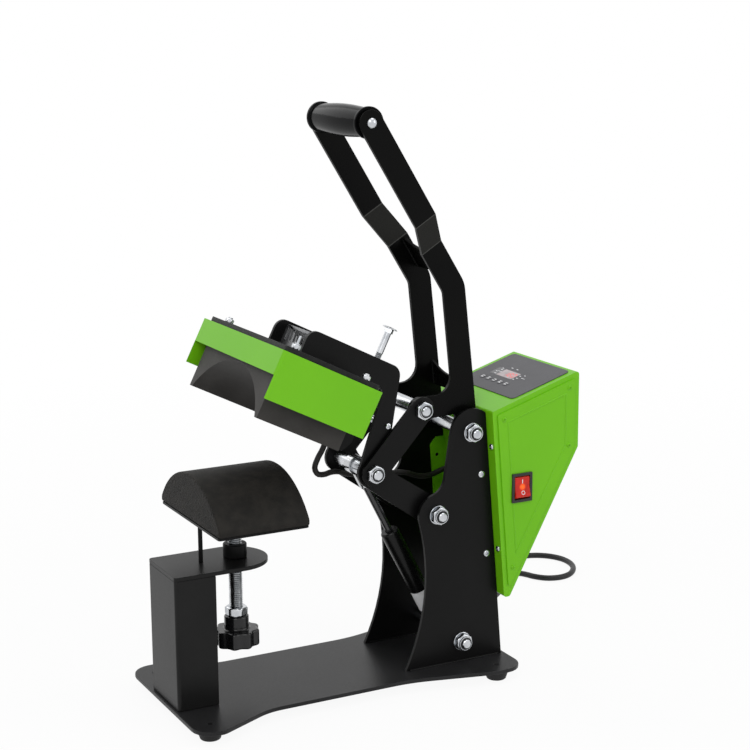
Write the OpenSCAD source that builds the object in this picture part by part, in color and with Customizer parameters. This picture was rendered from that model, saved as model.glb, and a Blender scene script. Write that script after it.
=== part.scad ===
// Cap heat press: a curved heat block on a toggle arm swings down onto a curved padded platen.
// X runs from the operator's side to the back, Y across the machine, Z up.
// The origin is on the floor under the middle of the machine.
// The arm group is drawn level, as it stands when the press is shut, and then swung open.

/* [Base] */
// Front edge of the base plate, from the origin
front_x = -225.5; // [-240:0.5:-210]
// Length of the base plate
base_l = 370; // [350:1:400]
// Width of the front end of the base plate
base_front_w = 196; // [170:1:220]
// Width of the rear end of the base plate
base_rear_w = 186; // [160:1:210]
// Width of the waist of the base plate
base_waist_w = 140; // [120:1:150]
// Thickness of the base plate
base_t = 4; // [3:0.5:6]
// Corner radius of the base plate
base_corner_r = 22; // [12:1:26]
// Diameter of a rubber foot at its top
foot_d = 27; // [22:1:32]
// Height of a rubber foot
foot_h = 11; // [8:0.5:16]
// Distance of the feet from the centre plane
foot_y = 75; // [65:1:78]
// Distance of the front feet from the front edge
foot_front_in = 20; // [16:1:26]
// Distance of the rear feet from the rear edge
foot_rear_in = 26; // [18:1:30]

/* [Front post] */
// Gap between the base plate's front edge and the post
post_in = 3; // [2:0.5:6]
// Depth of the post from front to back
post_d = 43; // [36:1:50]
// Width of the post
post_w = 73; // [60:1:80]
// Height of the post
post_h = 134; // [120:1:138]
// Wall of the folded post
post_t = 3; // [2:0.5:4]
// Thickness of the plate on the post
post_plate_t = 4; // [3:0.5:6]
// Diameter of the threaded boss
boss_d = 24; // [20:1:30]
// Height of the threaded boss
boss_h = 14.5; // [10:0.5:16]

/* [Lower platen] */
// Diameter of the pressure screw
screw_d = 14; // [12:1:16]
// Height of the knob's underside above the base plate
knob_z = 46; // [36:1:50]
// Diameter over the lobes of the star knob
knob_d = 47; // [40:1:54]
// Height of the star part of the knob
knob_h = 18; // [14:1:24]
// Diameter of the knob's hub
hub_d = 25; // [22:1:28]
// Height of the knob's hub
hub_h = 14; // [10:1:18]
// Number of lobes on the knob
knob_lobes = 9; // [5:1:10]
// Thickness of the steel plate under the pad
platen_t = 2.5; // [2:0.5:4]
// Width of that plate
platen_w = 150; // [140:1:152]
// Width of the curved pad
pad_w = 153; // [145:1:154]
// Height of the pad at its crown
pad_h = 46; // [44:0.5:47]
// Height of the swivel socket under the platen
socket_h = 12; // [9:0.5:14]
// Diameter of the guide rod
guide_d = 4.5; // [4:0.5:6]

/* [Uprights and pivots] */
// Distance of the handle pivot behind the origin
handle_pivot_x = 103; // [100:0.5:106]
// Height of the handle pivot
handle_pivot_z = 262; // [258:0.5:266]
// Distance of the arm pivot behind the origin
arm_pivot_x = 62.5; // [60:0.5:65]
// Height of the arm pivot
arm_pivot_z = 179.3; // [176:0.1:182]
// Distance of the strut's lower pivot behind the origin
strut_foot_x = 91.5; // [86:0.5:96]
// Height of the strut's lower pivot
strut_foot_z = 37; // [34:0.5:42]
// Thickness of an upright
upright_t = 4; // [3:0.5:5]
// Inner gap between the uprights
upright_gap = 89.6; // [88:0.2:94]
// Bottom rear corner of the uprights behind the origin
upright_rear_x = 140.5; // [136:0.5:143]
// Lean of the uprights' rear edge, in degrees
upright_lean = 4.6; // [4:0.1:5.2]
// Radius of the uprights' round top
upright_top_r = 25; // [23:0.5:26]
// Radius of the uprights round the arm pivot
upright_arm_r = 22; // [19:0.5:24]
// Radius of the waist cut in the uprights' front edge
upright_waist_r = 220; // [200:5:260]
// Height of the middle of the waist
upright_waist_z = 115; // [105:1:125]
// Diameter of the pivot bolts
bolt_d = 9.8; // [9.8:0.1:10.2]

/* [Handle] */
// Width of the handle bars
bar_w = 25.6; // [22:0.2:28]
// Thickness of the handle bars
bar_t = 4.5; // [4:0.5:5]
// Outer width over the lower ends of the bars
bar_low_w = 75.6; // [74:0.2:77]
// Outer width over the upper ends of the bars
bar_high_w = 117; // [110:1:124]
// Distance of the knee in front of the handle pivot
knee_back = 15.5; // [12:0.5:18]
// Height of the knee above the handle pivot
knee_up = 150.5; // [146:0.5:156]
// Length of the bars from the knee to the grip axis
bar_high_l = 199.5; // [180:0.5:210]
// Lean of the upper bars, in degrees
bar_lean = 31.4; // [30:0.1:32]
// Start of the joggle, from the knee
joggle_from = 50; // [48:1:56]
// End of the joggle, from the knee
joggle_to = 85; // [80:1:95]
// Diameter of the grip at its middle
grip_d = 32; // [28:0.5:36]
// Diameter of the grip at its necks
grip_neck_d = 27.5; // [24:0.5:30]
// Swing of the handle from open to shut, in degrees
handle_swing = 56; // [55:0.5:57]

/* [Toggle link] */
// Distance of the toggle pin in front of the handle pivot
toggle_back = 55.5; // [54:0.5:57]
// Height of the toggle pin above the handle pivot
toggle_up = 28.6; // [28:0.1:30]
// Thickness of a link
link_t = 4; // [3:0.5:4.5]
// Radius of a link's round ends
link_r = 13.5; // [12:0.5:15]

/* [Arm] */
// Tilt of the open arm, in degrees
arm_open = 26.7; // [26:0.1:27.4]
// Distance of the link pin in front of the arm pivot, arm level
link_pin_u = 86.2; // [85:0.1:87]
// Height of the link pin above the arm pivot, arm level
link_pin_w = 14.5; // [13.5:0.1:15.5]
// Outer width over the arm plates
arm_w = 78; // [77.4:0.2:78.4]
// Thickness of an arm plate
arm_t = 4; // [3:0.5:4.5]
// Width of the arm between its two pivots
arm_band_w = 25; // [22:0.5:28]
// Height of the carriage part of the arm plates
carriage_h = 25.5; // [22:0.5:28]
// Length of the stop bolt above the arm plates
stop_up = 35.5; // [34:0.5:36]
// Diameter of the stop bolt
stop_d = 7; // [6:0.5:9]

/* [Heater] */
// Distance of the heat block's front face in front of the arm pivot, arm level
block_front_u = 254.1; // [252:0.1:256]
// Length of the heat block
block_l = 95.6; // [90:0.2:98]
// Width of the heat block
block_w = 168; // [164:1:172]
// Height of the heat block's underside above the arm pivot, arm level
block_low_w = 23.4; // [22:0.2:26]
// Radius of the concave arch in the heat block
arch_r = 94; // [92:0.5:96]
// Height of the arch's crown above the arm pivot, arm level
arch_crown_w = 65.7; // [65:0.1:66.5]
// Metal above the arch's crown
block_crown_t = 12.3; // [10:0.1:13]
// Length of the hood
hood_l = 116.5; // [114:0.5:120]
// Width of the hood
hood_w = 198; // [190:1:204]
// Height of the hood
hood_h = 48.7; // [46:0.1:52]
// Depth of the hood's front band
hood_band_h = 25; // [20:0.5:26]
// Sheet thickness of the hood
hood_t = 1.5; // [1:0.1:2]
// Thickness of the backing plate
backing_t = 5; // [4:0.5:6]
// Distance of the studs from the centre plane
stud_y = 80; // [74:1:82]
// Diameter of the studs
stud_d = 5; // [4:0.5:6]

/* [Strut] */
// Diameter of the strut's cylinder
strut_d = 20; // [17:0.5:22]
// Diameter of the strut's rod
rod_d = 8; // [6:0.5:10]
// Length of the cylinder
cylinder_l = 112; // [105:1:118]
// Distance of the cylinder's end from the lower pivot
cylinder_from = 20; // [18:1:24]

/* [Control box] */
// Rear face of the box behind the origin
box_rear_x = 225.5; // [215:0.5:235]
// Height of the top's front edge
box_top_z = 284; // [280:1:290]
// Rise of the top, in degrees
box_top_rise = 17.2; // [14:0.2:20]
// Height of the rear face's lower edge
box_rear_low_z = 235; // [225:1:245]
// Height of the bottom edge
box_bottom_z = 82; // [76:1:90]
// Depth of the narrow bottom
box_bottom_d = 7; // [5:0.5:12]
// Width of the folded box
box_w = 124; // [116:1:130]
// Sheet thickness of the box
box_t = 1.5; // [1:0.1:2]
// Border round the side covers
cover_in = 5.5; // [4:0.5:8]
// Middle of the rocker switch behind the origin
switch_x = 154.5; // [150:0.5:160]
// Height of the middle of the rocker switch
switch_z = 200; // [190:1:210]
// Width of the switch bezel
switch_w = 24.5; // [20:0.5:28]
// Height of the switch bezel
switch_h = 31; // [26:0.5:34]

/* [Fits and cord] */
// Running gap between faces that move past each other
gap = 0.3; // [0.2:0.05:0.5]
// Radial clearance of a pin in its bore
fit = 0.1; // [0.05:0.01:0.1]
// Gap between the shut heat block and the pad
press_gap = 0.5; // [0.4:0.1:1]
// Diameter of the power cord
cord_d = 7; // [6:0.5:8]

/* [Hidden] */
$fn = 48;

steel_black = [0.07, 0.07, 0.08];
zinc = [0.78, 0.79, 0.8];
lime = [0.45, 0.75, 0.14];
rubber_black = [0.05, 0.05, 0.05];
charcoal = [0.17, 0.17, 0.18];

base_top = foot_h + base_t;
rear_x = front_x + base_l;
post_x = front_x + post_in;
post_top = base_top + post_h;
post_plate_top = post_top + post_plate_t;

// Pivots as points in the side view, X and Z
handle_pin = [handle_pivot_x, handle_pivot_z];
arm_pin = [arm_pivot_x, arm_pivot_z];
foot_pin = [strut_foot_x, strut_foot_z];
toggle_pin = handle_pin + [-toggle_back, toggle_up];
link_pin_level = [-link_pin_u, link_pin_w];
link_pin = arm_pin + [cos(arm_open) * link_pin_level.x + sin(arm_open) * link_pin_level.y,
                      cos(arm_open) * link_pin_level.y - sin(arm_open) * link_pin_level.x];

upright_in_y = upright_gap / 2;
upright_out_y = upright_in_y + upright_t;
arm_out_y = arm_w / 2;
arm_in_y = arm_out_y - arm_t;
bar_out_y = bar_low_w / 2;
bar_in_y = bar_out_y - bar_t;
bar_high_out_y = bar_high_w / 2;
bar_high_in_y = bar_high_out_y - bar_t;
link_in_y = arm_out_y + 1;
link_out_y = link_in_y + link_t;
bolt_r = bolt_d / 2;
bore_r = bolt_r + fit;
tube_r = 8;
washer_r = 10;
washer_t = 1.6;
nut_af = 17;
nut_h = 8;

// Unit vector, a point on a circle, and the rounded corner b between a and c
function unit(v) = v / norm(v);
function on_circle(c, r, a) = c + r * [cos(a), sin(a)];
function turned(v, a) = [v.x * cos(a) - v.y * sin(a), v.x * sin(a) + v.y * cos(a)];
function arc(c, r, a0, a1, n = 12) = [for (i = [0:n]) on_circle(c, r, a0 + (a1 - a0) * i / n)];
function flat(p) = [p.x, p.y];
function corner(a, b, c, r, n = 6) =
    r <= 0 ? [b] :
    let (u = unit(a - b), v = unit(c - b), h = acos(u * v) / 2,
         m = b + unit(u + v) * r / sin(h), s = b + u * r / tan(h) - m,
         way = cross(s, b + v * r / tan(h) - m) > 0 ? 1 : -1)
    [for (i = [0:n]) m + turned(s, way * (180 - 2 * h) * i / n)];
// An outline from corner points that each carry a radius
function outline(p) = let (n = len(p))
    [for (i = [0:n - 1]) each corner(flat(p[(i + n - 1) % n]), flat(p[i]), flat(p[(i + 1) % n]), p[i].z)];
// The same outline drawn in by a distance, for a convex outline
function drawn_in(p, d, r) = let (n = len(p))
    [for (i = [0:n - 1])
        let (b = flat(p[i]), u = unit(flat(p[(i + n - 1) % n]) - b), v = unit(flat(p[(i + 1) % n]) - b),
             q = b + unit(u + v) * d / sin(acos(u * v) / 2)) [q.x, q.y, r]];

// A flat plate in the side view from y0 to y1
module side_plate(y0, y1) {
    translate([0, y1, 0]) rotate([90, 0, 0]) linear_extrude(height = y1 - y0) children();
}
// The same plate on both sides of the centre plane
module both_sides(y0, y1) {
    side_plate(y0, y1) children();
    side_plate(-y1, -y0) children();
}
// A round bar along Y at a point of the side view
module cross_bar(p, r, y0, y1, fn = $fn) {
    translate([p.x, y1, p.y]) rotate([90, 0, 0]) cylinder(r = r, h = y1 - y0, $fn = fn);
}
// The same bar on one side of the centre plane, s being 1 or -1
module side_bar(p, r, s, y0, y1, fn = $fn) {
    cross_bar(p, r, s > 0 ? y0 : -y1, s > 0 ? y1 : -y0, fn);
}
module cross_tube(p, r, hole_r, y0, y1) {
    difference() {
        cross_bar(p, r, y0, y1);
        cross_bar(p, hole_r, y0 - 1, y1 + 1);
    }
}
// A hexagon lock nut on a cross bolt, with its nylon collar, outside y and outside -y
module lock_nut_pair(p, y, r, af, h) {
    for (s = [-1, 1]) {
        difference() {
            union() {
                side_bar(p, af / sqrt(3), s, y, y + h * 0.75, 6);
                side_bar(p, af * 0.44, s, y, y + h);
            }
            cross_bar(p, r + fit, -y - h - 1, y + h + 1);
        }
    }
}
// Places its children, drawn with the arm level about its pivot, in the open arm
module on_arm() {
    translate([arm_pin.x, 0, arm_pin.y]) rotate([0, arm_open, 0]) children();
}

// Base
base_front_l = 27;
base_taper_l = 85;
base_waist_l = 245;
base_half = [
    [front_x, -base_front_w / 2, base_corner_r],
    [front_x + base_front_l, -base_front_w / 2, 14],
    [front_x + base_taper_l, -base_waist_w / 2, 60],
    [front_x + base_waist_l, -base_waist_w / 2, 160],
    [rear_x - 35, -base_rear_w / 2, 20],
    [rear_x, -base_rear_w / 2, base_corner_r]
];
foot_spots = [for (x = [front_x + foot_front_in, rear_x - foot_rear_in]) for (s = [-1, 1]) [x, s * foot_y]];
foot_screw_r = 2.5;
foot_recess = 5;

module base_plate() {
    color(steel_black) translate([0, 0, foot_h]) linear_extrude(height = base_t) difference() {
        polygon(outline(concat(base_half,
            [for (i = [len(base_half) - 1:-1:0]) [base_half[i].x, -base_half[i].y, base_half[i].z]])));
        for (p = foot_spots) translate(p) circle(r = foot_screw_r + fit);
    }
}
module rubber_feet() {
    color(rubber_black) for (p = foot_spots) translate([p.x, p.y, 0]) difference() {
        cylinder(d1 = foot_d - 7, d2 = foot_d, h = foot_h);
        translate([0, 0, -1]) cylinder(r = 5.5, h = foot_recess + 1);
        cylinder(r = foot_screw_r + fit, h = foot_h + 1);
    }
}
module foot_screws() {
    color(zinc) for (p = foot_spots) translate([p.x, p.y, 0]) {
        translate([0, 0, foot_recess - 3]) cylinder(r = 4.8, h = 3);
        translate([0, 0, foot_recess]) cylinder(r = foot_screw_r, h = base_top - foot_recess);
    }
}

// Front post and lower platen
post_bend_r = 4;
platen_x = arm_pivot_x - block_front_u;
screw_x = platen_x + block_l / 2;
arch_z = arm_pivot_z + arch_crown_w - arch_r;
pad_r = arch_r - press_gap;
pad_base_z = arch_z + pad_r - pad_h;
platen_low_z = pad_base_z - platen_t;
guide_x = platen_x + 11;
guide_down = 32;
knob_low_z = base_top + knob_z;
hub_low_z = knob_low_z + knob_h - 1;
knob_nut_z = hub_low_z + hub_h;
knob_nut_h = 9;
screw_top_z = platen_low_z - 4;
screw_hole_r = screw_d / 2 + fit;
plate_nose_x = screw_x - 4;
knob_nut_af = 20;

module front_post() {
    color(steel_black) translate([0, 0, base_top]) linear_extrude(height = post_h) difference() {
        polygon(outline([[post_x, -post_w / 2, post_bend_r], [post_x + post_d, -post_w / 2, 0],
                         [post_x + post_d, post_w / 2, 0], [post_x, post_w / 2, post_bend_r]]));
        polygon(outline([[post_x + post_t, post_t - post_w / 2, 1],
                         [post_x + post_d + 1, post_t - post_w / 2, 0],
                         [post_x + post_d + 1, post_w / 2 - post_t, 0],
                         [post_x + post_t, post_w / 2 - post_t, 1]]));
    }
}
module post_top_plate() {
    color(steel_black) translate([0, 0, post_top]) difference() {
        union() {
            linear_extrude(height = post_plate_t) polygon(outline([
                [post_x, -post_w / 2, post_bend_r], [plate_nose_x, -post_w / 2, 0],
                [plate_nose_x, post_w / 2, 0], [post_x, post_w / 2, post_bend_r]]));
            translate([plate_nose_x, 0, 0]) cylinder(d = post_w, h = post_plate_t, $fn = 96);
        }
        translate([screw_x, 0, -1]) cylinder(r = screw_hole_r, h = post_plate_t + 2);
        translate([guide_x, 0, -1]) cylinder(r = guide_d / 2 + fit, h = post_plate_t + 2);
    }
}
module screw_boss() {
    color(steel_black) translate([screw_x, 0, post_plate_top]) difference() {
        cylinder(d = boss_d, h = boss_h);
        translate([0, 0, -1]) cylinder(r = screw_hole_r, h = boss_h + 2);
    }
}
module pressure_screw() {
    color(zinc) {
        translate([screw_x, 0, knob_low_z + 4]) cylinder(d = screw_d, h = screw_top_z - knob_low_z - 4);
        translate([screw_x, 0, knob_nut_z]) difference() {
            cylinder(d = knob_nut_af / cos(30), h = knob_nut_h, $fn = 6);
            translate([0, 0, -1]) cylinder(r = screw_hole_r, h = knob_nut_h + 2);
        }
    }
}
// The knob's star outline swings in and out once for each lobe
knob_wave = knob_d * 0.03;
knob_star = [for (i = [0:12 * knob_lobes - 1]) let (a = 360 * i / (12 * knob_lobes))
    on_circle([0, 0], knob_d / 2 - knob_wave + knob_wave * cos(knob_lobes * a), a)];
module screw_knob() {
    color(rubber_black) translate([screw_x, 0, 0]) difference() {
        union() {
            translate([0, 0, knob_low_z]) linear_extrude(height = knob_h - 1) polygon(knob_star);
            translate([0, 0, hub_low_z - 1]) cylinder(d = hub_d, h = hub_h + 1);
        }
        translate([0, 0, knob_low_z + 4]) cylinder(r = screw_hole_r, h = knob_h + hub_h);
    }
}
module swivel_socket() {
    color(zinc) translate([screw_x, 0, platen_low_z - socket_h]) difference() {
        union() {
            cylinder(d = screw_d + 9, h = socket_h);
            translate([0, 0, socket_h - 2.5]) cylinder(d = screw_d + 22, h = 2.5);
        }
        translate([0, 0, -1]) cylinder(r = screw_hole_r, h = socket_h - 4 + 1 + gap);
    }
}
module platen_plate() {
    color(steel_black) translate([0, 0, platen_low_z]) linear_extrude(height = platen_t)
        polygon(outline([[platen_x, -platen_w / 2, 3], [platen_x + block_l, -platen_w / 2, 3],
                         [platen_x + block_l, platen_w / 2, 3], [platen_x, platen_w / 2, 3]]));
}
module platen_pad() {
    color(charcoal) translate([platen_x, 0, 0]) rotate([90, 0, 90]) linear_extrude(height = block_l)
        intersection() {
            translate([0, arch_z]) circle(r = pad_r, $fn = 180);
            translate([-pad_w / 2, pad_base_z]) square([pad_w, pad_h + 1]);
        }
}
module guide_rod() {
    color(steel_black) translate([guide_x, 0, post_top - guide_down])
        cylinder(d = guide_d, h = platen_low_z - post_top + guide_down);
}

// Uprights, their bolts and spacers
lean_d = cos(upright_lean)
         * (upright_rear_x - (handle_pivot_z - base_top) * tan(upright_lean) - handle_pivot_x);
top_rear_a = upright_lean + acos(lean_d / upright_top_r);
neck_r = 20;
neck_x = handle_pivot_x - 32;
neck_c = [neck_x - neck_r, arm_pivot_z
          + sqrt(pow(upright_arm_r + neck_r, 2) - pow(neck_x - neck_r - arm_pivot_x, 2))];
neck_a = atan2(arm_pin.y - neck_c.y, arm_pin.x - neck_c.x);
waist_a = asin((arm_pivot_z - upright_waist_z) / (upright_waist_r + upright_arm_r));
waist_c = on_circle(arm_pin, upright_waist_r + upright_arm_r, 180 + waist_a);
upright_outline = concat(
    [[upright_rear_x, base_top]],
    arc(handle_pin, upright_top_r, top_rear_a, 172, 14),
    arc(neck_c, neck_r, 0, neck_a, 6),
    arc(arm_pin, upright_arm_r, 180 + neck_a, 180 + waist_a, 8),
    arc(waist_c, upright_waist_r, waist_a, asin((base_top - waist_c.y) / upright_waist_r), 12)
);
function rear_edge_x(z) = upright_rear_x - (z - base_top) * tan(upright_lean);
box_screw_in = 10;
box_screw_z = [129, 216];
box_screw_r = 2;

module upright() {
    difference() {
        polygon(upright_outline);
        for (p = [handle_pin, arm_pin, foot_pin]) translate(p) circle(r = bore_r);
        for (z = box_screw_z) translate([rear_edge_x(z) - box_screw_in, z]) circle(r = box_screw_r + fit);
    }
}
module right_upright() {
    color(steel_black) side_plate(-upright_out_y, -upright_in_y) upright();
}
module left_upright() {
    color(steel_black) side_plate(upright_in_y, upright_out_y) upright();
}
module pivot_bolts() {
    end_y = upright_out_y + washer_t + nut_h + 2.5;
    color(zinc) for (p = [handle_pin, arm_pin, foot_pin]) cross_bar(p, bolt_r, -end_y, end_y);
}
module lock_nuts() {
    color(zinc) for (p = [handle_pin, arm_pin, foot_pin])
        lock_nut_pair(p, upright_out_y + washer_t, bolt_r, nut_af, nut_h);
}
module washers() {
    color(zinc) for (p = [handle_pin, arm_pin, foot_pin]) for (s = [-1, 1]) {
        y = s * (upright_out_y + washer_t / 2);
        cross_tube(p, washer_r, bore_r, y - washer_t / 2, y + washer_t / 2);
    }
}
strut_eye_w = 14;
module pivot_spacers() {
    color(zinc) {
        cross_tube(handle_pin, tube_r, bore_r, -bar_in_y + gap, bar_in_y - gap);
        for (s = [-1, 1]) {
            ring_mid = s * (bar_out_y + upright_in_y) / 2;
            ring_half = (upright_in_y - bar_out_y) / 2 - gap;
            cross_tube(handle_pin, tube_r, bore_r, ring_mid - ring_half, ring_mid + ring_half);
            arm_mid = s * (arm_out_y + upright_in_y) / 2;
            arm_half = (upright_in_y - arm_out_y) / 2 - gap;
            cross_tube(arm_pin, tube_r, bore_r, arm_mid - arm_half, arm_mid + arm_half);
            strut_mid = s * (strut_eye_w / 2 + upright_in_y) / 2;
            strut_half = (upright_in_y - strut_eye_w / 2) / 2 - gap;
            cross_tube(foot_pin, 7, bore_r, strut_mid - strut_half, strut_mid + strut_half);
        }
    }
}

// Control box, held to the rear edges of the uprights
box_front_gap = gap;
box_top_front_x = rear_edge_x(box_top_z) + box_front_gap;
box_bottom_front_x = rear_edge_x(box_bottom_z) + box_front_gap;
box_top_rear_z = box_top_z + (box_rear_x - box_top_front_x) * tan(box_top_rise);
box_corner_r = 3;
box_profile = [
    [box_bottom_front_x, box_bottom_z, box_corner_r],
    [box_bottom_front_x + box_bottom_d, box_bottom_z, box_corner_r],
    [box_rear_x, box_rear_low_z, box_corner_r],
    [box_rear_x, box_top_rear_z, box_corner_r],
    [box_top_front_x, box_top_z, box_corner_r]
];
box_inside = drawn_in(box_profile, box_t, box_corner_r - box_t);
// The covers follow the profile as if its narrow bottom came to a point
box_rise_run = (box_rear_x - box_bottom_front_x - box_bottom_d) / (box_rear_low_z - box_bottom_z);
box_tip_drop = box_bottom_d / (box_rise_run + tan(upright_lean));
box_tip = [box_bottom_front_x + box_tip_drop * tan(upright_lean), box_bottom_z - box_tip_drop, 0];
pointed_profile = [box_tip, box_profile[2], box_profile[3], box_profile[4]];
cover_outline = drawn_in(pointed_profile, cover_in, 2);
box_opening = drawn_in(pointed_profile, cover_in + 11, 2);
cover_screw_at = [for (p = drawn_in(pointed_profile, cover_in + 7, 0)) flat(p)];
cover_screw_r = 1.5;
cover_out_y = box_w / 2 + box_t;
slope_u = unit([box_rear_x, box_rear_low_z] - [box_bottom_front_x + box_bottom_d, box_bottom_z]);
slope_n = [slope_u.y, -slope_u.x];
cord_exit_y = 30;
cord_exit_z = 120;
cord_exit = [box_bottom_front_x + box_bottom_d + (cord_exit_z - box_bottom_z) * slope_u.x / slope_u.y,
             cord_exit_z];
relief_l = 30;
lead_y = 24;
lead_z = 206;
lead_d = 6;
grommet_r = 7;
panel_from = 30;
panel_l = 74;
panel_w = 110;
panel_t = 1;
window_from = 29;
window_l = 14;
window_y = 14.5;
window_w = 43;
key_from = 19;
key_y = 10;
key_pitch = 11.5;
key_count = 5;

// Two flanges bent forward from the box front lie inside the uprights and take their screws
flange_low_z = 112;
flange_top_z = 236;
flange_l = 18;
front_screw_y = 56;
front_screw_z = [134.4, 245.8];
function front_face_x(z) = rear_edge_x(z) + box_front_gap;

// Places its children on the box front, Z out of the sheet
module on_box_front(y, z) {
    translate([front_face_x(z), y, z]) rotate([0, -90 - upright_lean, 0]) children();
}
// Places its children on the sloped top, X along the slope from the front edge
module on_box_top() {
    translate([box_top_front_x, 0, box_top_z]) rotate([0, -box_top_rise, 0]) children();
}
module box_body() {
    color(lime) difference() {
        union() {
            difference() {
                side_plate(-box_w / 2, box_w / 2) polygon(outline(box_profile));
                side_plate(box_t - box_w / 2, box_w / 2 - box_t) polygon(outline(box_inside));
            }
            both_sides(upright_in_y - box_t, upright_in_y) polygon([
                [front_face_x(flange_low_z) + box_t, flange_low_z],
                [front_face_x(flange_top_z) + box_t, flange_top_z],
                [front_face_x(flange_top_z) - flange_l + 8, flange_top_z],
                [front_face_x(flange_top_z - 8) - flange_l, flange_top_z - 8],
                [front_face_x(flange_low_z + 8) - flange_l, flange_low_z + 8],
                [front_face_x(flange_low_z) - flange_l + 8, flange_low_z]]);
        }
        side_plate(-box_w / 2 - 1, box_w / 2 + 1) polygon(outline(box_opening));
        for (p = cover_screw_at) cross_bar(p, cover_screw_r + fit, -box_w / 2 - 1, box_w / 2 + 1);
        for (z = box_screw_z)
            cross_bar([rear_edge_x(z) - box_screw_in, z], box_screw_r + fit, -box_w / 2, box_w / 2);
        for (z = front_screw_z) for (s = [-1, 1]) on_box_front(s * front_screw_y, z)
            translate([0, 0, -box_t - 1]) cylinder(r = cover_screw_r + fit, h = box_t + 2);
        translate([box_top_front_x - 20, lead_y, lead_z]) rotate([0, 90, 0])
            cylinder(r = grommet_r - 1.5, h = 40);
        translate([cord_exit.x, cord_exit_y, cord_exit.y]) rotate([0, 90 + atan2(-slope_n.y, slope_n.x), 0])
            translate([0, 0, -5]) cylinder(r = cord_d / 2 + 1, h = 10);
    }
}
module cover(inside_y, outside_y) {
    difference() {
        side_plate(inside_y, outside_y) polygon(outline(cover_outline));
        side_plate(inside_y - 1, outside_y + 1)
            for (p = cover_screw_at) translate(p) circle(r = cover_screw_r + fit);
        children();
    }
}
module right_box_cover() {
    color(lime) cover(-cover_out_y, -box_w / 2)
        translate([switch_x - switch_body_w / 2, -cover_out_y - 1, switch_z - switch_body_h / 2])
            cube([switch_body_w, box_t + 2, switch_body_h]);
}
module left_box_cover() {
    color(lime) cover(box_w / 2, cover_out_y);
}
// Pan head screws in the covers, in the box front and through the uprights into the flanges
module box_fixings() {
    color(lime) for (s = [-1, 1]) for (p = cover_screw_at) {
        side_bar(p, cover_screw_r, s, box_w / 2 - 5, cover_out_y);
        side_bar(p, 2.6, s, cover_out_y, cover_out_y + 1.2);
    }
    color(zinc) for (s = [-1, 1]) {
        for (z = box_screw_z) {
            p = [rear_edge_x(z) - box_screw_in, z];
            side_bar(p, box_screw_r, s, upright_in_y - box_t - 3, upright_out_y);
            side_bar(p, 4, s, upright_out_y, upright_out_y + 2.2);
        }
        for (z = front_screw_z) on_box_front(s * front_screw_y, z) {
            cylinder(r = 3.2, h = 1.8);
            translate([0, 0, -6]) cylinder(r = cover_screw_r, h = 6);
        }
    }
}
module control_panel() {
    color([0.12, 0.13, 0.14]) on_box_top() difference() {
        union() {
            translate([panel_from, 0, 0]) linear_extrude(height = panel_t) polygon(outline([
                [0, -panel_w / 2, 5], [panel_l, -panel_w / 2, 5], [panel_l, panel_w / 2, 5], [0, panel_w / 2, 5]]));
            for (i = [0:key_count - 1])
                translate([panel_from + key_from, key_y + (i - (key_count - 1) / 2) * key_pitch, panel_t])
                    cylinder(d = 8, h = 0.4);
        }
        translate([panel_from + window_from, window_y - window_w / 2, panel_t / 2])
            cube([window_l, window_w, panel_t]);
    }
}
module display_window() {
    color([0.5, 0.1, 0.1]) on_box_top()
        translate([panel_from + window_from + fit, window_y - window_w / 2 + fit, panel_t / 2])
            cube([window_l - 2 * fit, window_w - 2 * fit, panel_t / 2]);
}
// The board hangs on four posts under the sloped top and carries its transformer, relay and terminals
board_l = 76;
board_w = 96;
board_t = 1.6;
board_drop = 14;
module circuit_board() {
    color([0.1, 0.4, 0.25]) on_box_top() translate([panel_from - 4, -board_w / 2, 0]) {
        translate([0, 0, -board_drop - board_t]) cube([board_l, board_w, board_t]);
        for (x = [5, board_l - 5]) for (y = [5, board_w - 5])
            translate([x, y, -board_drop]) cylinder(r = 3, h = board_drop - box_t);
        translate([12, 12, -board_drop - board_t - 22]) cube([26, 30, 22]);
        translate([12, 56, -board_drop - board_t - 16]) cube([16, 20, 16]);
        translate([52, 18, -board_drop - board_t - 10]) cube([9, 60, 10]);
        translate([window_from - 4, 20, -board_drop]) cube([window_l + 8, 56, 6]);
    }
}

// Rocker switch in the right cover: it rocks about a pin along X
switch_bezel_t = 2;
switch_wall = 1.6;
switch_body_w = switch_w - 3;
switch_body_h = switch_h - 3;
rocker_w = switch_body_w - 2 * switch_wall;
rocker_r = (switch_body_h - 2 * switch_wall) / 2 - gap;
rocker_tilt = -8;
rocker_y = -cover_out_y - switch_bezel_t + rocker_r * 0.42;
switch_depth = 20;
module switch_housing() {
    color([0.06, 0.06, 0.06]) difference() {
        union() {
            translate([switch_x - switch_w / 2, -cover_out_y - switch_bezel_t, switch_z - switch_h / 2])
                cube([switch_w, switch_bezel_t, switch_h]);
            translate([switch_x - switch_body_w / 2 + fit, -cover_out_y, switch_z - switch_body_h / 2 + fit])
                cube([switch_body_w - 2 * fit, switch_depth, switch_body_h - 2 * fit]);
            for (x = [-6, 0, 6]) translate([switch_x + x - 0.4, switch_depth - cover_out_y, switch_z - 3])
                cube([0.8, 8, 6]);
        }
        translate([switch_x - rocker_w / 2, rocker_y, switch_z]) rotate([0, 90, 0])
            cylinder(r = rocker_r + gap, h = rocker_w, $fn = 96);
        translate([switch_x - rocker_w / 2, rocker_y - rocker_r, switch_z - rocker_r - gap])
            cube([rocker_w, rocker_r, 2 * (rocker_r + gap)]);
    }
}
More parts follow.
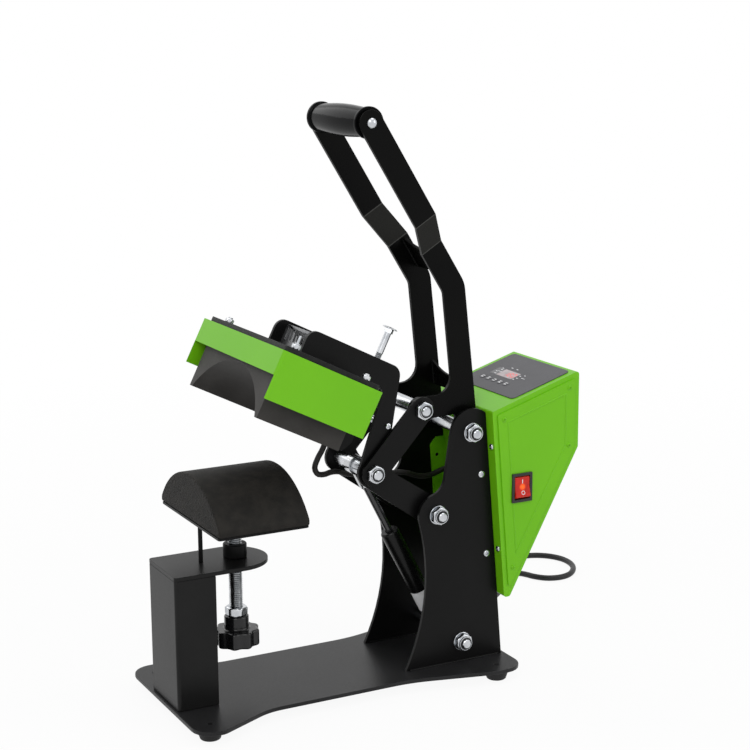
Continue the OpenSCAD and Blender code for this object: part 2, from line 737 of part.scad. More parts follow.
module switch_rocker() {
    color([0.85, 0.1, 0.08]) translate([switch_x, rocker_y, switch_z]) rotate([rocker_tilt, 0, 0])
        translate([gap - rocker_w / 2, 0, 0]) rotate([90, 0, 90]) linear_extrude(height = rocker_w - 2 * gap)
            intersection() {
                circle(r = rocker_r, $fn = 96);
                polygon([[rocker_r, -rocker_r], [rocker_r, rocker_r], [-rocker_r * 0.56, rocker_r],
                         [-rocker_r * 0.42, 0], [-rocker_r * 0.56, -rocker_r]]);
            }
}

// A tube swept along points, with its rings square to the way
module tube(p, r, sides, up = [0, 0, 1]) {
    last = len(p) - 1;
    rings = [for (i = [0:last])
        let (way = unit(p[min(i + 1, last)] - p[max(i - 1, 0)]), a = unit(cross(way, up)), b = cross(a, way))
        for (k = [0:sides - 1]) p[i] + r * (cos(360 * k / sides) * a + sin(360 * k / sides) * b)];
    polyhedron(rings, concat(
        [[for (k = [sides - 1:-1:0]) k]],
        [for (i = [0:last - 1]) for (k = [0:sides - 1])
            [i * sides + k, i * sides + (k + 1) % sides, (i + 1) * sides + k]],
        [for (i = [0:last - 1]) for (k = [0:sides - 1])
            [i * sides + (k + 1) % sides, (i + 1) * sides + (k + 1) % sides, (i + 1) * sides + k]],
        [[for (k = [0:sides - 1]) last * sides + k]]), convexity = 8);
}

// Power cord: strain relief, free stretch, coil behind the machine, plug
cord_r = cord_d / 2;
cord_out = [cord_exit.x, cord_exit_y, cord_exit.y];
relief_tip = cord_out + relief_l * [slope_n.x, 0, slope_n.y];
coil_c = [180, 190];
coil_r = 46;
coil_turns = 4.25;
coil_from = 90;
cord_pitch = cord_d + 0.7;
coil_low_z = cord_r + 0.1;
coil_high_z = coil_low_z + cord_pitch;
cord_points = [
    [200, 31, 99], [209, 37, 88], [214, 48, 73], [218, 62, 56], [222, 78, 39], [225, 95, 24], [228, 113, 12],
    [231, 131, 6], [236, 150, 3.6], [244, 170, 3.6], [256, 188, 3.6], [272, 202, 3.6], [291, 208, 3.6],
    [309, 204, 3.6], [321, 191, 3.6], [328, 175, 3.6], [338, 163, 3.6], [353, 158, 3.6], [368, 161, 3.6],
    [381, 171, 3.6], [391, 185, 3.6], [396, 200, 3.6], [396, 217, 3.6], [389, 233, 3.6], [376, 245, 3.6],
    [358, 251, 3.6], [338, 254, 3.6], [315, 254, 3.6], [290, 251, 3.6], [265, 247, 3.6], [240, 242, 3.6],
    [215, 238, 3.6]
];
coil_steps = 24;
coil_count = floor(coil_turns * coil_steps);
function coil_point(i) = let (t = i / coil_steps, half = coil_turns / 2, a = coil_from + 360 * t,
    r = coil_r - cord_pitch * (half - abs(t - half)),
    z = coil_low_z + cord_pitch * min(1, max(0, 2 * (t - half) + 0.5)))
    [coil_c.x + r * cos(a), coil_c.y + r * sin(a), z];
coil_points = [for (i = [0:coil_count]) coil_point(i)];
coil_start = coil_points[0] + cord_d * [1, 0, 0];
coil_end = coil_points[coil_count] - [0, 20, 0];
coil_gap = min([for (i = [0:coil_count - 15]) for (j = [i + 15:coil_count])
    norm(coil_points[i] - coil_points[j])]) - cord_d;
echo(coil_gap = coil_gap);

module cord_relief() {
    color(rubber_black) translate(cord_out) rotate([0, 90 + atan2(-slope_n.y, slope_n.x), 0]) {
        cylinder(r1 = cord_r + 3.2, r2 = cord_r + 0.9, h = relief_l);
        cylinder(r = cord_r + 4.2, h = 3);
    }
}
module power_cord() {
    color(rubber_black) tube(concat([relief_tip], cord_points, [coil_start]), cord_r, 8);
}
module cord_coil() {
    color(rubber_black) tube(concat([coil_start], coil_points, [coil_end]), cord_r, 6);
}
module mains_plug() {
    color(rubber_black) translate(coil_end) rotate([90, 0, 0]) {
        cylinder(r1 = cord_r + 0.9, r2 = cord_r + 3.5, h = 20);
        difference() {
            translate([-13, -coil_high_z, 18]) cube([26, 2 * coil_high_z, 32]);
            for (s = [-1, 1]) translate([s * 19, -coil_high_z - 1, 33]) rotate([-90, 0, 0])
                cylinder(r = 9, h = 2 * coil_high_z + 2);
        }
    }
    color(zinc) translate(coil_end) rotate([90, 0, 0]) {
        for (s = [-1, 1]) translate([s * 6.35 - 0.75, -3.1, 50]) cube([1.5, 6.2, 17]);
        translate([0, -8, 50]) cylinder(r = 2.4, h = 19);
    }
}

// Arm group, drawn level about the arm pivot: x is U, z is W
hood_low_w = arch_crown_w + block_crown_t + 12.8 + hood_t - hood_h;
block_top_w = arch_crown_w + block_crown_t;
hood_top_w = hood_low_w + hood_h;
backing_low_w = hood_top_w;
carriage_low_w = backing_low_w + backing_t;
carriage_top_w = carriage_low_w + carriage_h;
block_rear_u = block_l - block_front_u;
hood_front_u = -block_front_u - 8.4;
hood_rear_u = hood_front_u + hood_l;
backing_front_u = hood_front_u + 4.5;
backing_rear_u = hood_rear_u - 2;
backing_w = hood_w - 8;
carriage_front_u = backing_front_u + 43;
carriage_rear_u = 155 - block_front_u;
arm_hub_r = 15;
stop_u = carriage_rear_u - 12;
arm_outline = concat(
    arc([0, 0], arm_hub_r, -100, 78, 12),
    corner([-24, arm_band_w * 0.6], [-74, arm_band_w], [carriage_rear_u - 4, carriage_top_w], 26),
    corner([-74, arm_band_w], [carriage_rear_u - 4, carriage_top_w], [carriage_front_u, carriage_top_w], 12),
    corner([carriage_rear_u, carriage_top_w], [carriage_front_u, carriage_top_w],
           [carriage_front_u, carriage_low_w], 11),
    [[carriage_front_u, carriage_low_w]],
    corner([carriage_front_u, carriage_low_w], [stop_u - 1, carriage_low_w], link_pin_level - [16, -3], 8),
    arc(link_pin_level, 16, 172, 262, 8)
);
tie_rod_at = [-91, 64];
tie_rod_r = 2.5;

module arm_plate() {
    difference() {
        polygon(arm_outline);
        circle(r = bore_r);
        translate(link_pin_level) circle(r = bore_r);
        translate(tie_rod_at) circle(r = tie_rod_r + fit);
    }
}
module right_arm_plate() {
    color(steel_black) on_arm() side_plate(-arm_out_y, -arm_in_y) arm_plate();
}
module left_arm_plate() {
    color(steel_black) on_arm() side_plate(arm_in_y, arm_out_y) arm_plate();
}
brace_u = carriage_front_u + 12;
brace_t = 3;
brace_l = 36;
brace_up = carriage_h - 3;
brace_slots = 7;
module carriage_brace() {
    color([0.4, 0.4, 0.42]) on_arm() difference() {
        union() {
            translate([brace_u, -arm_in_y, carriage_low_w]) cube([brace_l, 2 * arm_in_y, brace_t]);
            translate([brace_u, -arm_in_y, carriage_low_w]) cube([brace_t, 2 * arm_in_y, brace_up]);
        }
        for (i = [0:brace_slots - 1])
            translate([brace_u - 1, (i - (brace_slots - 1) / 2) * 9 - 2.2, carriage_low_w + 7])
                cube([brace_t + 2, 4.4, brace_up - 10]);
        for (y = [-20, 0, 20]) translate([brace_u + brace_l / 2, y, carriage_low_w - 1])
            cylinder(r = 3, h = brace_t + 2);
    }
}
bridge_t = 4;
bridge_low_w = carriage_top_w - 9;
stop_r = stop_d / 2;
stop_neck = stop_d + 0.6;
stop_nut_af = stop_d + 5;
stop_top_w = carriage_top_w + stop_up;
module stop_bridge() {
    color(steel_black) on_arm() difference() {
        translate([stop_u - 11, -arm_in_y, bridge_low_w]) cube([20, 2 * arm_in_y, bridge_t]);
        translate([stop_u, 0, bridge_low_w - 1]) cylinder(r = stop_r + fit, h = bridge_t + 2);
    }
}
module stop_bolt() {
    color(zinc) on_arm() translate([stop_u, 0, 0]) {
        translate([0, 0, bridge_low_w - 14]) cylinder(r = stop_r, h = stop_top_w - bridge_low_w + 14 - 3);
        translate([-stop_neck / 2, -stop_neck / 2, stop_top_w - 6.5]) cube([stop_neck, stop_neck, 5]);
        translate([0, 0, stop_top_w - 2]) cylinder(r = 8, h = 0.8);
        translate([0, 0, stop_top_w - 1.2]) cylinder(r1 = 8, r2 = 5, h = 1.2);
        for (z = [bridge_low_w - 5, bridge_low_w + bridge_t]) translate([0, 0, z]) difference() {
            cylinder(r = stop_nut_af / 2 / cos(30), h = 5, $fn = 6);
            translate([0, 0, -1]) cylinder(r = stop_r + fit, h = 7);
        }
    }
}
module arm_rods() {
    color(zinc) on_arm() {
        cross_bar(link_pin_level, bolt_r, -arm_out_y, arm_out_y);
        cross_bar(tie_rod_at, tie_rod_r, -arm_out_y, arm_out_y);
        for (s = [-1, 1]) side_bar(tie_rod_at, 4, s, arm_out_y, arm_out_y + 3);
    }
}
strut_top_w = 12;
module arm_tubes() {
    color(zinc) on_arm() {
        cross_tube([0, 0], 10, bore_r, -arm_in_y, arm_in_y);
        for (s = [-1, 1]) {
            from = min(s * (strut_top_w / 2 + 0.5), s * arm_in_y);
            cross_tube(link_pin_level, tube_r, bore_r, from, from + arm_in_y - strut_top_w / 2 - 0.5);
        }
        cross_tube(tie_rod_at, 5, tie_rod_r + fit, -arm_in_y, arm_in_y);
    }
}

// Heater: backing plate, hood, insulation and block on four studs
stud_r = stud_d / 2;
stud_spots = [for (u = [backing_front_u + 15, backing_rear_u - 12]) for (s = [-1, 1]) [u, s * stud_y]];
stud_nut_h = 4.5;
stud_nut_af = stud_d + 3;
rod_heat_r = 3.25;
heat_rod_y = 45;
heat_rod_w = block_top_w - 17.5;
module studs_cut(r) {
    for (p = stud_spots) translate([p.x, p.y, 0]) cylinder(r = r, h = carriage_top_w + 50);
}
module backing_plate() {
    color(steel_black) on_arm() difference() {
        translate([0, 0, backing_low_w]) linear_extrude(height = backing_t) polygon(outline([
            [backing_front_u, -backing_w / 2, 7], [backing_rear_u, -backing_w / 2, 7],
            [backing_rear_u, backing_w / 2, 7], [backing_front_u, backing_w / 2, 7]]));
        studs_cut(stud_r + fit);
    }
}
module heater_hood() {
    color(lime) on_arm() difference() {
        translate([0, 0, hood_low_w]) linear_extrude(height = hood_h) polygon(outline([
            [hood_front_u, -hood_w / 2, 3], [hood_rear_u, -hood_w / 2, 3],
            [hood_rear_u, hood_w / 2, 3], [hood_front_u, hood_w / 2, 3]]));
        translate([0, 0, hood_low_w - 1]) linear_extrude(height = hood_h - hood_t + 1) polygon(outline([
            [hood_front_u + hood_t, hood_t - hood_w / 2, 1.5], [hood_rear_u - hood_t, hood_t - hood_w / 2, 1.5],
            [hood_rear_u - hood_t, hood_w / 2 - hood_t, 1.5], [hood_front_u + hood_t, hood_w / 2 - hood_t, 1.5]]));
        translate([hood_front_u - 1, hood_t - hood_w / 2, hood_low_w - 1])
            cube([hood_l + 2, hood_w - 2 * hood_t, hood_h - hood_band_h + 1]);
        studs_cut(stud_r + fit);
    }
}
module insulation_pad() {
    color([0.85, 0.82, 0.7]) on_arm() difference() {
        translate([-block_front_u + 4, -block_w / 2 + 2, block_top_w])
            cube([block_l - 8, block_w - 4, hood_top_w - hood_t - block_top_w]);
        studs_cut(stud_r + fit);
    }
}
module heat_block() {
    color([0.24, 0.24, 0.25]) on_arm() difference() {
        translate([-block_front_u, 0, 0]) rotate([90, 0, 90]) linear_extrude(height = block_l) difference() {
            polygon(outline([[-block_w / 2, block_low_w, 0], [block_w / 2, block_low_w, 0],
                             [block_w / 2, block_top_w, 10], [-block_w / 2, block_top_w, 10]]));
            translate([0, arch_crown_w - arch_r]) circle(r = arch_r, $fn = 180);
        }
        for (s = [-1, 1]) translate([4 - block_front_u, s * heat_rod_y, heat_rod_w]) rotate([0, 90, 0])
            cylinder(r = rod_heat_r + fit, h = block_l);
        translate([block_rear_u - 40, 0, block_top_w - 5]) rotate([0, 90, 0]) cylinder(r = 2 + fit, h = 50);
        translate([0, 0, -carriage_top_w]) intersection() {
            translate([0, 0, carriage_top_w]) studs_cut(stud_r + fit);
            translate([-block_front_u, -block_w / 2, carriage_top_w + block_top_w - 8])
                cube([block_l, block_w, 20]);
        }
    }
}
module heater_rods() {
    color(zinc) on_arm() {
        for (s = [-1, 1]) translate([4 - block_front_u, s * heat_rod_y, heat_rod_w]) rotate([0, 90, 0])
            cylinder(r = rod_heat_r, h = block_l);
        translate([block_rear_u - 40, 0, block_top_w - 5]) rotate([0, 90, 0]) cylinder(r = 2, h = 44);
    }
}
module platen_studs() {
    color(zinc) on_arm() for (p = stud_spots) {
        translate([p.x, p.y, block_top_w - 8])
            cylinder(r = stud_r, h = carriage_low_w + stud_nut_h + 1.5 - block_top_w + 8);
        if (p.x < backing_rear_u - 50 && p.y < 0) translate([p.x, p.y, carriage_low_w + stud_nut_h])
            cylinder(r = stud_r / 2, h = 9);
    }
}
module stud_nuts() {
    color(zinc) on_arm() for (p = stud_spots) translate([p.x, p.y, carriage_low_w]) difference() {
        union() {
            cylinder(r = stud_nut_af / 2 + 1.2, h = 1);
            cylinder(r = stud_nut_af / 2 / cos(30), h = stud_nut_h, $fn = 6);
        }
        translate([0, 0, -1]) cylinder(r = stud_r + fit, h = stud_nut_h + 2);
    }
}
cover_l = 18;
cable_cover_w = 140;
terminal_top_w = hood_top_w - hood_band_h - 1;
module terminal_cover() {
    terminal_side = [[block_rear_u, block_low_w + 1, 0], [block_rear_u + cover_l * 0.65, block_low_w + 1, 2],
                     [block_rear_u + cover_l, block_low_w + 12, 2], [block_rear_u + cover_l, terminal_top_w, 2],
                     [block_rear_u, terminal_top_w, 0]];
    color(steel_black) on_arm() difference() {
        side_plate(-cable_cover_w / 2, cable_cover_w / 2) polygon(outline(terminal_side));
        side_plate(1.2 - cable_cover_w / 2, cable_cover_w / 2 - 1.2) translate([-1.2, 0]) intersection() {
            polygon(outline(terminal_side));
            translate([0, -1.2]) polygon(outline(terminal_side));
            translate([0, 1.2]) polygon(outline(terminal_side));
        }
    }
}
// Heater cable in the level arm: U, Y, W
cable_from = [block_rear_u + cover_l, 20, 50];
cable_points = [
    [-133, 20, 50], [-126, 20, 46], [-121, 20, 38], [-118, 20, 28], [-117, 20, 16], [-118, 20, 5], [-117, 20, -5],
    [-111, 20, -10], [-103, 21, -8], [-95, 23, -3], [-86, 25, 0], [-76, 27, 1], [-65, 28, 4], [-52, 28, 8],
    [-38, 28, 13], [-26, 27, 19], [-15, 25, 24]
];
cable_end_a = 69 + arm_open;
cable_end_r = 26.5;
cable_end = on_circle([0, 0], cable_end_r, cable_end_a);
cable_way = [sin(cable_end_a), -cos(cable_end_a)];
cable_last = cable_end - 6 * cable_way;
module heater_cable() {
    color(rubber_black) on_arm() tube(concat([cable_from], cable_points,
        [[cable_last.x, lead_y, cable_last.y], [cable_end.x, lead_y, cable_end.y]]), lead_d / 2, 8, [0, 1, 0]);
}
// The lead that meets it, from the arm pivot to a grommet in the box front
lead_from = on_circle(arm_pin, cable_end_r, 69) + gap * turned(cable_way, -arm_open);
lead_next = lead_from + 7 * turned(cable_way, -arm_open);
module control_lead() {
    grommet_x = rear_edge_x(lead_z) + box_front_gap;
    color(rubber_black) {
        tube([[lead_from.x, lead_y, lead_from.y], [lead_next.x, lead_y, lead_next.y], [88, lead_y, 200],
              [98, lead_y, 201], [108, lead_y, 204], [grommet_x - 6, lead_y, lead_z],
              [grommet_x + 14, lead_y, lead_z]], lead_d / 2, 8, [0, 1, 0]);
    }
}

// Handle
lean_low = atan2(knee_back, knee_up);
knee = handle_pin + [-knee_back, knee_up];
bar_half = bar_w / 2;
knee_mid = (lean_low + bar_lean) / 2;
knee_out = bar_half / cos((bar_lean - lean_low) / 2) * [cos(knee_mid), sin(knee_mid)];
up_way = [-sin(bar_lean), cos(bar_lean)];
up_side = [cos(bar_lean), sin(bar_lean)];
low_way = [-sin(lean_low), cos(lean_low)];
low_side = [cos(lean_low), sin(lean_low)];
grip_axis = knee + bar_high_l * up_way;
joggle_start = knee + joggle_from * up_way;
foot_r = 12;
bar_end_r = 13.4;
function low_front(z) = handle_pin.x - (z - handle_pin.y) * tan(lean_low) - bar_half / cos(lean_low);
bar_outline = concat(
    arc(grip_axis, bar_half, bar_lean, bar_lean + 180, 12),
    corner(joggle_start - bar_half * up_side, knee - knee_out, handle_pin - bar_half * low_side, 14),
    corner(knee - knee_out, [low_front(toggle_pin.y + foot_r), toggle_pin.y + foot_r],
           [toggle_pin.x, toggle_pin.y + foot_r], 18),
    arc(toggle_pin, foot_r, 90, 270, 12),
    corner([toggle_pin.x, toggle_pin.y - foot_r], [handle_pin.x - bar_end_r, toggle_pin.y - foot_r + 2],
           [handle_pin.x - bar_end_r, handle_pin.y], 3),
    arc(handle_pin, bar_end_r, 180, 360, 12),
    corner(handle_pin + bar_half * low_side, knee + knee_out, joggle_start + bar_half * up_side, 30)
);
bar_reach = bar_high_l + knee_up;
grip_screw_r = 2.5;
grip_rod_r = 5;
module on_upper_bar() {
    translate([knee.x, 0, knee.y]) rotate([0, -bar_lean, 0]) children();
}
module handle_bar() {
    difference() {
        intersection() {
            side_plate(bar_in_y - 1, bar_high_out_y + 1) polygon(bar_outline);
            on_upper_bar() translate([-bar_reach, 0, 0]) rotate([90, 0, 90]) linear_extrude(height = 2 * bar_reach)
                polygon([[bar_in_y, -bar_reach], [bar_out_y, -bar_reach], [bar_out_y, joggle_from],
                         [bar_high_out_y, joggle_to], [bar_high_out_y, bar_reach], [bar_high_in_y, bar_reach],
                         [bar_high_in_y, joggle_to], [bar_in_y, joggle_from]]);
        }
        cross_bar(handle_pin, bore_r, 0, bar_high_w);
        cross_bar(toggle_pin, bore_r, 0, bar_high_w);
        cross_bar(grip_axis, grip_screw_r + fit, 0, bar_high_w);
    }
}
module left_handle_bar() {
    color(steel_black) handle_bar();
}
module right_handle_bar() {
    color(steel_black) mirror([0, 1, 0]) handle_bar();
}
// The stop plate's face stands where the stop bolt's head meets it when the press is shut
shut_head = arm_pin + [carriage_rear_u - 12, stop_top_w] - handle_pin;
shut_head_side = turned(shut_head, -handle_swing) + handle_pin - knee;
stop_face = shut_head_side.x * up_side.x + shut_head_side.y * up_side.y + gap + 0.4;
stop_plate_t = 3;
stop_plate_from = 12;
stop_plate_l = 36;
stop_cut_r = 44;
module stop_plate() {
    color(steel_black) on_upper_bar() difference() {
        translate([stop_face, -bar_in_y, stop_plate_from]) cube([stop_plate_t, 2 * bar_in_y, stop_plate_l]);
        translate([stop_face - 1, 0, stop_plate_from + stop_plate_l + 34]) rotate([0, 90, 0])
            cylinder(r = stop_cut_r, h = stop_plate_t + 2, $fn = 96);
    }
}
gusset_t = 3;
gusset_from = 35;
gusset_l = 28;
gusset_at = 5;
module handle_gusset() {
    color(steel_black) translate([handle_pin.x, 0, handle_pin.y]) rotate([0, -lean_low, 0]) difference() {
        translate([gusset_at, -bar_in_y, gusset_from]) cube([gusset_t, 2 * bar_in_y, gusset_l]);
        translate([gusset_at - 1, 0, gusset_from + gusset_l + 45]) rotate([0, 90, 0])
            cylinder(r = 57, h = gusset_t + 2, $fn = 96);
    }
}
// The grip is a turned barrel with a ring at each end
grip_half = bar_high_in_y - gap;
grip_ring = 4;
grip_steps = 10;
module grip() {
    neck = grip_neck_d / 2;
    color(rubber_black) translate([grip_axis.x, 0, grip_axis.y]) rotate([-90, 0, 0]) rotate_extrude($fn = 64)
        polygon(concat(
            [[grip_rod_r + fit, -grip_half], [neck + 2, -grip_half], [neck + 2, grip_ring - grip_half]],
            [for (i = [-grip_steps:grip_steps]) let (t = i / grip_steps)
                [neck + (grip_d - grip_neck_d) / 2 * cos(90 * t), t * (grip_half - grip_ring - 1)]],
            [[neck + 2, grip_half - grip_ring], [neck + 2, grip_half], [grip_rod_r + fit, grip_half]]));
}
grip_rod_end = bar_high_in_y;
module grip_bolt() {
    color(zinc) {
        difference() {
            cross_bar(grip_axis, grip_rod_r, -grip_rod_end, grip_rod_end);
            for (s = [-1, 1]) side_bar(grip_axis, grip_screw_r + fit, s, grip_rod_end - 18, grip_rod_end + 1);
        }
        for (s = [-1, 1]) {
            side_bar(grip_axis, grip_screw_r, s, grip_rod_end - 16, bar_high_out_y);
            translate([grip_axis.x, s * bar_high_out_y, grip_axis.y]) rotate([-90 * s, 0, 0]) intersection() {
                cylinder(r = 5.2, h = 5);
                translate([0, 0, -2.6]) sphere(r = 6.4);
            }
        }
    }
}

// Toggle: pin through the handle's feet, the two links, and the pins at their lower ends
toggle_end = link_out_y + gap + 2 + nut_h;
module toggle_bolt() {
    washer_mid = (bar_out_y + link_in_y) / 2;
    washer_half = (link_in_y - bar_out_y) / 2 - fit;
    color(zinc) {
        cross_bar(toggle_pin, bolt_r, -toggle_end, toggle_end);
        cross_tube(toggle_pin, tube_r, bore_r, -bar_in_y, bar_in_y);
        for (s = [-1, 1])
            cross_tube(toggle_pin, washer_r, bore_r, s * washer_mid - washer_half, s * washer_mid + washer_half);
        lock_nut_pair(toggle_pin, link_out_y + gap, bolt_r, nut_af, nut_h);
    }
}
link_way = toggle_pin - link_pin;
module toggle_links() {
    color(steel_black) both_sides(link_in_y, link_out_y) difference() {
        union() {
            translate(link_pin) circle(r = link_r);
            translate(toggle_pin) circle(r = link_r);
            translate(link_pin) rotate(atan2(link_way.y, link_way.x)) translate([0, -link_r])
                square([norm(link_way), 2 * link_r]);
        }
        translate(link_pin) circle(r = bore_r);
        translate(toggle_pin) circle(r = bore_r);
    }
}
module link_bolts() {
    color(zinc) {
        for (s = [-1, 1]) {
            side_bar(link_pin, bolt_r, s, arm_out_y + gap, toggle_end);
            side_bar(link_pin, washer_r, s, arm_out_y + gap, link_in_y);
        }
        lock_nut_pair(link_pin, link_out_y, bolt_r, nut_af, nut_h);
    }
}

// Gas strut from the foot of the uprights to the link pin
strut_line = link_pin - foot_pin;
strut_l = norm(strut_line);
strut_lean = atan2(-strut_line.x, strut_line.y);
strut_wall = 1.5;
strut_gland = 9;
strut_eye_r = 10;
strut_slack = 1.7;
cylinder_end = cylinder_from + cylinder_l;
module on_strut() {
    translate([foot_pin.x, 0, foot_pin.y]) rotate([0, -strut_lean, 0]) children();
}
module strut_cylinder() {
    color(steel_black) on_strut() difference() {
        union() {
            translate([0, 0, cylinder_from]) cylinder(d = strut_d, h = cylinder_l - 2);
            translate([0, 0, cylinder_end - 2]) cylinder(d1 = strut_d, d2 = strut_d - 3, h = 2);
        }
        translate([0, 0, cylinder_from + 8])
            cylinder(r = strut_d / 2 - strut_wall, h = cylinder_l - 8 - strut_gland);
        translate([0, 0, cylinder_from + 20]) cylinder(r = rod_d / 2 + fit, h = cylinder_l);
    }
}
module strut_foot() {
    color(zinc) on_strut() difference() {
        union() {
            rotate([90, 0, 0]) cylinder(r = strut_eye_r, h = strut_eye_w, center = true);
            cylinder(r = 6.5, h = cylinder_from);
        }
        rotate([90, 0, 0]) cylinder(r = bore_r, h = strut_eye_w + 2, center = true);
    }
}
module strut_rod() {
    color(zinc) on_strut() difference() {
        union() {
            translate([0, 0, cylinder_end - 60]) cylinder(r = rod_d / 2, h = strut_l - cylinder_end + 60);
            translate([0, 0, cylinder_end - 66]) cylinder(r = strut_d / 2 - strut_wall - fit, h = 10);
            translate([0, 0, strut_l - 26]) cylinder(r = 6.5, h = 20);
            translate([0, 0, strut_l]) rotate([90, 0, 0]) cylinder(r = strut_eye_r, h = strut_top_w, center = true);
        }
        translate([0, 0, strut_l]) rotate([90, 0, 0])
            cylinder(r = bolt_r + strut_slack, h = strut_top_w + 2, center = true);
    }
}

base_plate();
rubber_feet();
foot_screws();
front_post();
post_top_plate();
screw_boss();
right_upright();
left_upright();
pivot_bolts();
lock_nuts();
washers();
pivot_spacers();
box_body();
right_box_cover();
left_box_cover();
box_fixings();
control_panel();
display_window();
circuit_board();
switch_housing();
switch_rocker();
control_lead();
cord_relief();
power_cord();
cord_coil();
mains_plug();
right_arm_plate();
left_arm_plate();
carriage_brace();
stop_bridge();
stop_bolt();
arm_rods();
arm_tubes();
backing_plate();
heater_hood();
heat_block();
heater_rods();
insulation_pad();
platen_studs();
stud_nuts();
terminal_cover();
heater_cable();
right_handle_bar();
left_handle_bar();
stop_plate();
handle_gusset();
grip();
grip_bolt();
toggle_bolt();
toggle_links();
link_bolts();
strut_cylinder();
strut_foot();
strut_rod();
platen_plate();
platen_pad();
guide_rod();
swivel_socket();
pressure_screw();
screw_knob();
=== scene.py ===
from math import cos, pi, radians, sin

import bmesh
import bpy
import numpy as np
from mathutils import Matrix, Vector


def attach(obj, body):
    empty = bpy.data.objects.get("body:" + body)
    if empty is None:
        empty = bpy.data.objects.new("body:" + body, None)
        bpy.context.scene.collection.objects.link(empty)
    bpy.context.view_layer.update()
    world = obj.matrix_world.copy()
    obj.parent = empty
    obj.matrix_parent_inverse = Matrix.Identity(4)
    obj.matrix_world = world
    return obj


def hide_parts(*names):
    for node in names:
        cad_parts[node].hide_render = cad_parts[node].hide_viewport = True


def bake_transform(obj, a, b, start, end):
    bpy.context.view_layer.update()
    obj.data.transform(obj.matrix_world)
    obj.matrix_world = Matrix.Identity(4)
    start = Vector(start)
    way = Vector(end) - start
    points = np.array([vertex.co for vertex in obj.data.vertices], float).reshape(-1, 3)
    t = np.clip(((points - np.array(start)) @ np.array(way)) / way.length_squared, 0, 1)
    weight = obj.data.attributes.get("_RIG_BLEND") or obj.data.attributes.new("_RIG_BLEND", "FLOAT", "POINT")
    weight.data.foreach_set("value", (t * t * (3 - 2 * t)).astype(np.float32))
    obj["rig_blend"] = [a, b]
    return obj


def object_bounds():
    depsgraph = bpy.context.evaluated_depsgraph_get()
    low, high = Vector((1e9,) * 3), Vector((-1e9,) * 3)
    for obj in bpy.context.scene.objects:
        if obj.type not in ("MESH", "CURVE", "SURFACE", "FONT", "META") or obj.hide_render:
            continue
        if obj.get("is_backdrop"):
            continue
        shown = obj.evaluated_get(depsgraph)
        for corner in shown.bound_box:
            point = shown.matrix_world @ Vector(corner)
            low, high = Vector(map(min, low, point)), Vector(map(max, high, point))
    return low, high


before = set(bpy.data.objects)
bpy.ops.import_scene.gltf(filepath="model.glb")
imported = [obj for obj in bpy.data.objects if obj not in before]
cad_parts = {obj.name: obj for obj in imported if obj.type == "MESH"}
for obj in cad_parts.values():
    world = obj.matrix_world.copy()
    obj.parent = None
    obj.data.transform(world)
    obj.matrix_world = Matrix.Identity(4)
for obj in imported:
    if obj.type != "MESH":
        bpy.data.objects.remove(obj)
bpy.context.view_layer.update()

# Camera: a long lens a little above the machine, from the operator's right and front.
# It stands where the photograph's lens stood, rolled a third of a degree.


def stood(name, data):
    """An object in the scene for a lens, a lamp or a mesh."""
    made = bpy.data.objects.new(name, data)
    bpy.context.scene.collection.objects.link(made)
    return made


picture_px, focal_px = 750, 1745
lens_place = Vector((-0.7955, -1.549, 0.695))
turn, rise, roll = radians(-27.65), radians(12.03), radians(-0.35)
behind = Vector((sin(turn) * cos(rise), -cos(turn) * cos(rise), sin(rise)))
level = (-behind).cross(Vector((0, 0, 1))).normalized()
upright_way = level.cross(-behind)
lens_right = cos(roll) * level + sin(roll) * upright_way
lens_up = cos(roll) * upright_way - sin(roll) * level
camera = stood("camera", bpy.data.cameras.new("camera"))
camera.data.sensor_width = 36
camera.data.lens = focal_px / picture_px * 36
camera.data.clip_end = 30
looking = Matrix((lens_right, lens_up, behind)).transposed().to_4x4()
camera.matrix_world = Matrix.Translation(lens_place) @ looking
bpy.context.scene.camera = camera
bpy.context.scene.view_settings.view_transform = "Standard"

# Studio: pale seamless paper under the machine and four large soft lamps round it.
# The lens and anything glossy see a white room, and other surfaces get a plain level of light from it.


def srgb(r, g, b):
    """A colour as it is written for a screen, for a shader."""
    shares = (c / 255 for c in (r, g, b))
    return tuple(((c + 0.055) / 1.055) ** 2.4 if c > 10 / 255 else c / 12.92 for c in shares) + (1.0,)


def node(tree, kind, inputs=(), **facts):
    """A shader or geometry node with its inputs set or joined."""
    made = tree.nodes.new(kind)
    for k, v in facts.items():
        setattr(made, k, v)
    for k, v in dict(inputs).items():
        if isinstance(v, bpy.types.NodeSocket):
            tree.links.new(v, made.inputs[k])
        else:
            made.inputs[k].default_value = v
    return made


def worked(tree, how, a, b=0.0):
    """One sum on numbers or sockets, as a socket."""
    return node(tree, "ShaderNodeMath", {0: a, 1: b}, operation=how).outputs[0]


def here(tree):
    """A point of the piece, in the piece's own frame."""
    return node(tree, "ShaderNodeTexCoord").outputs["Object"]


def seen_by_lens(tree):
    """1 for what the lens, gloss or glass sees, 0 for the light that falls on things."""
    rays = node(tree, "ShaderNodeLightPath")
    first = worked(tree, "MAXIMUM", rays.outputs["Is Camera Ray"], rays.outputs["Is Glossy Ray"])
    return worked(tree, "MAXIMUM", first, rays.outputs["Is Transmission Ray"])


white = srgb(255, 255, 255)
room_light, room_seen = 0.62, 1.0
world = bpy.data.worlds.new("studio")
bpy.context.scene.world = world
world.use_nodes = True
tree = world.node_tree
room = tree.nodes["Background"]
room.inputs["Color"].default_value = white
strength = node(tree, "ShaderNodeMapRange",
                {"Value": seen_by_lens(tree), "To Min": room_light, "To Max": room_seen})
tree.links.new(strength.outputs[0], room.inputs["Strength"])

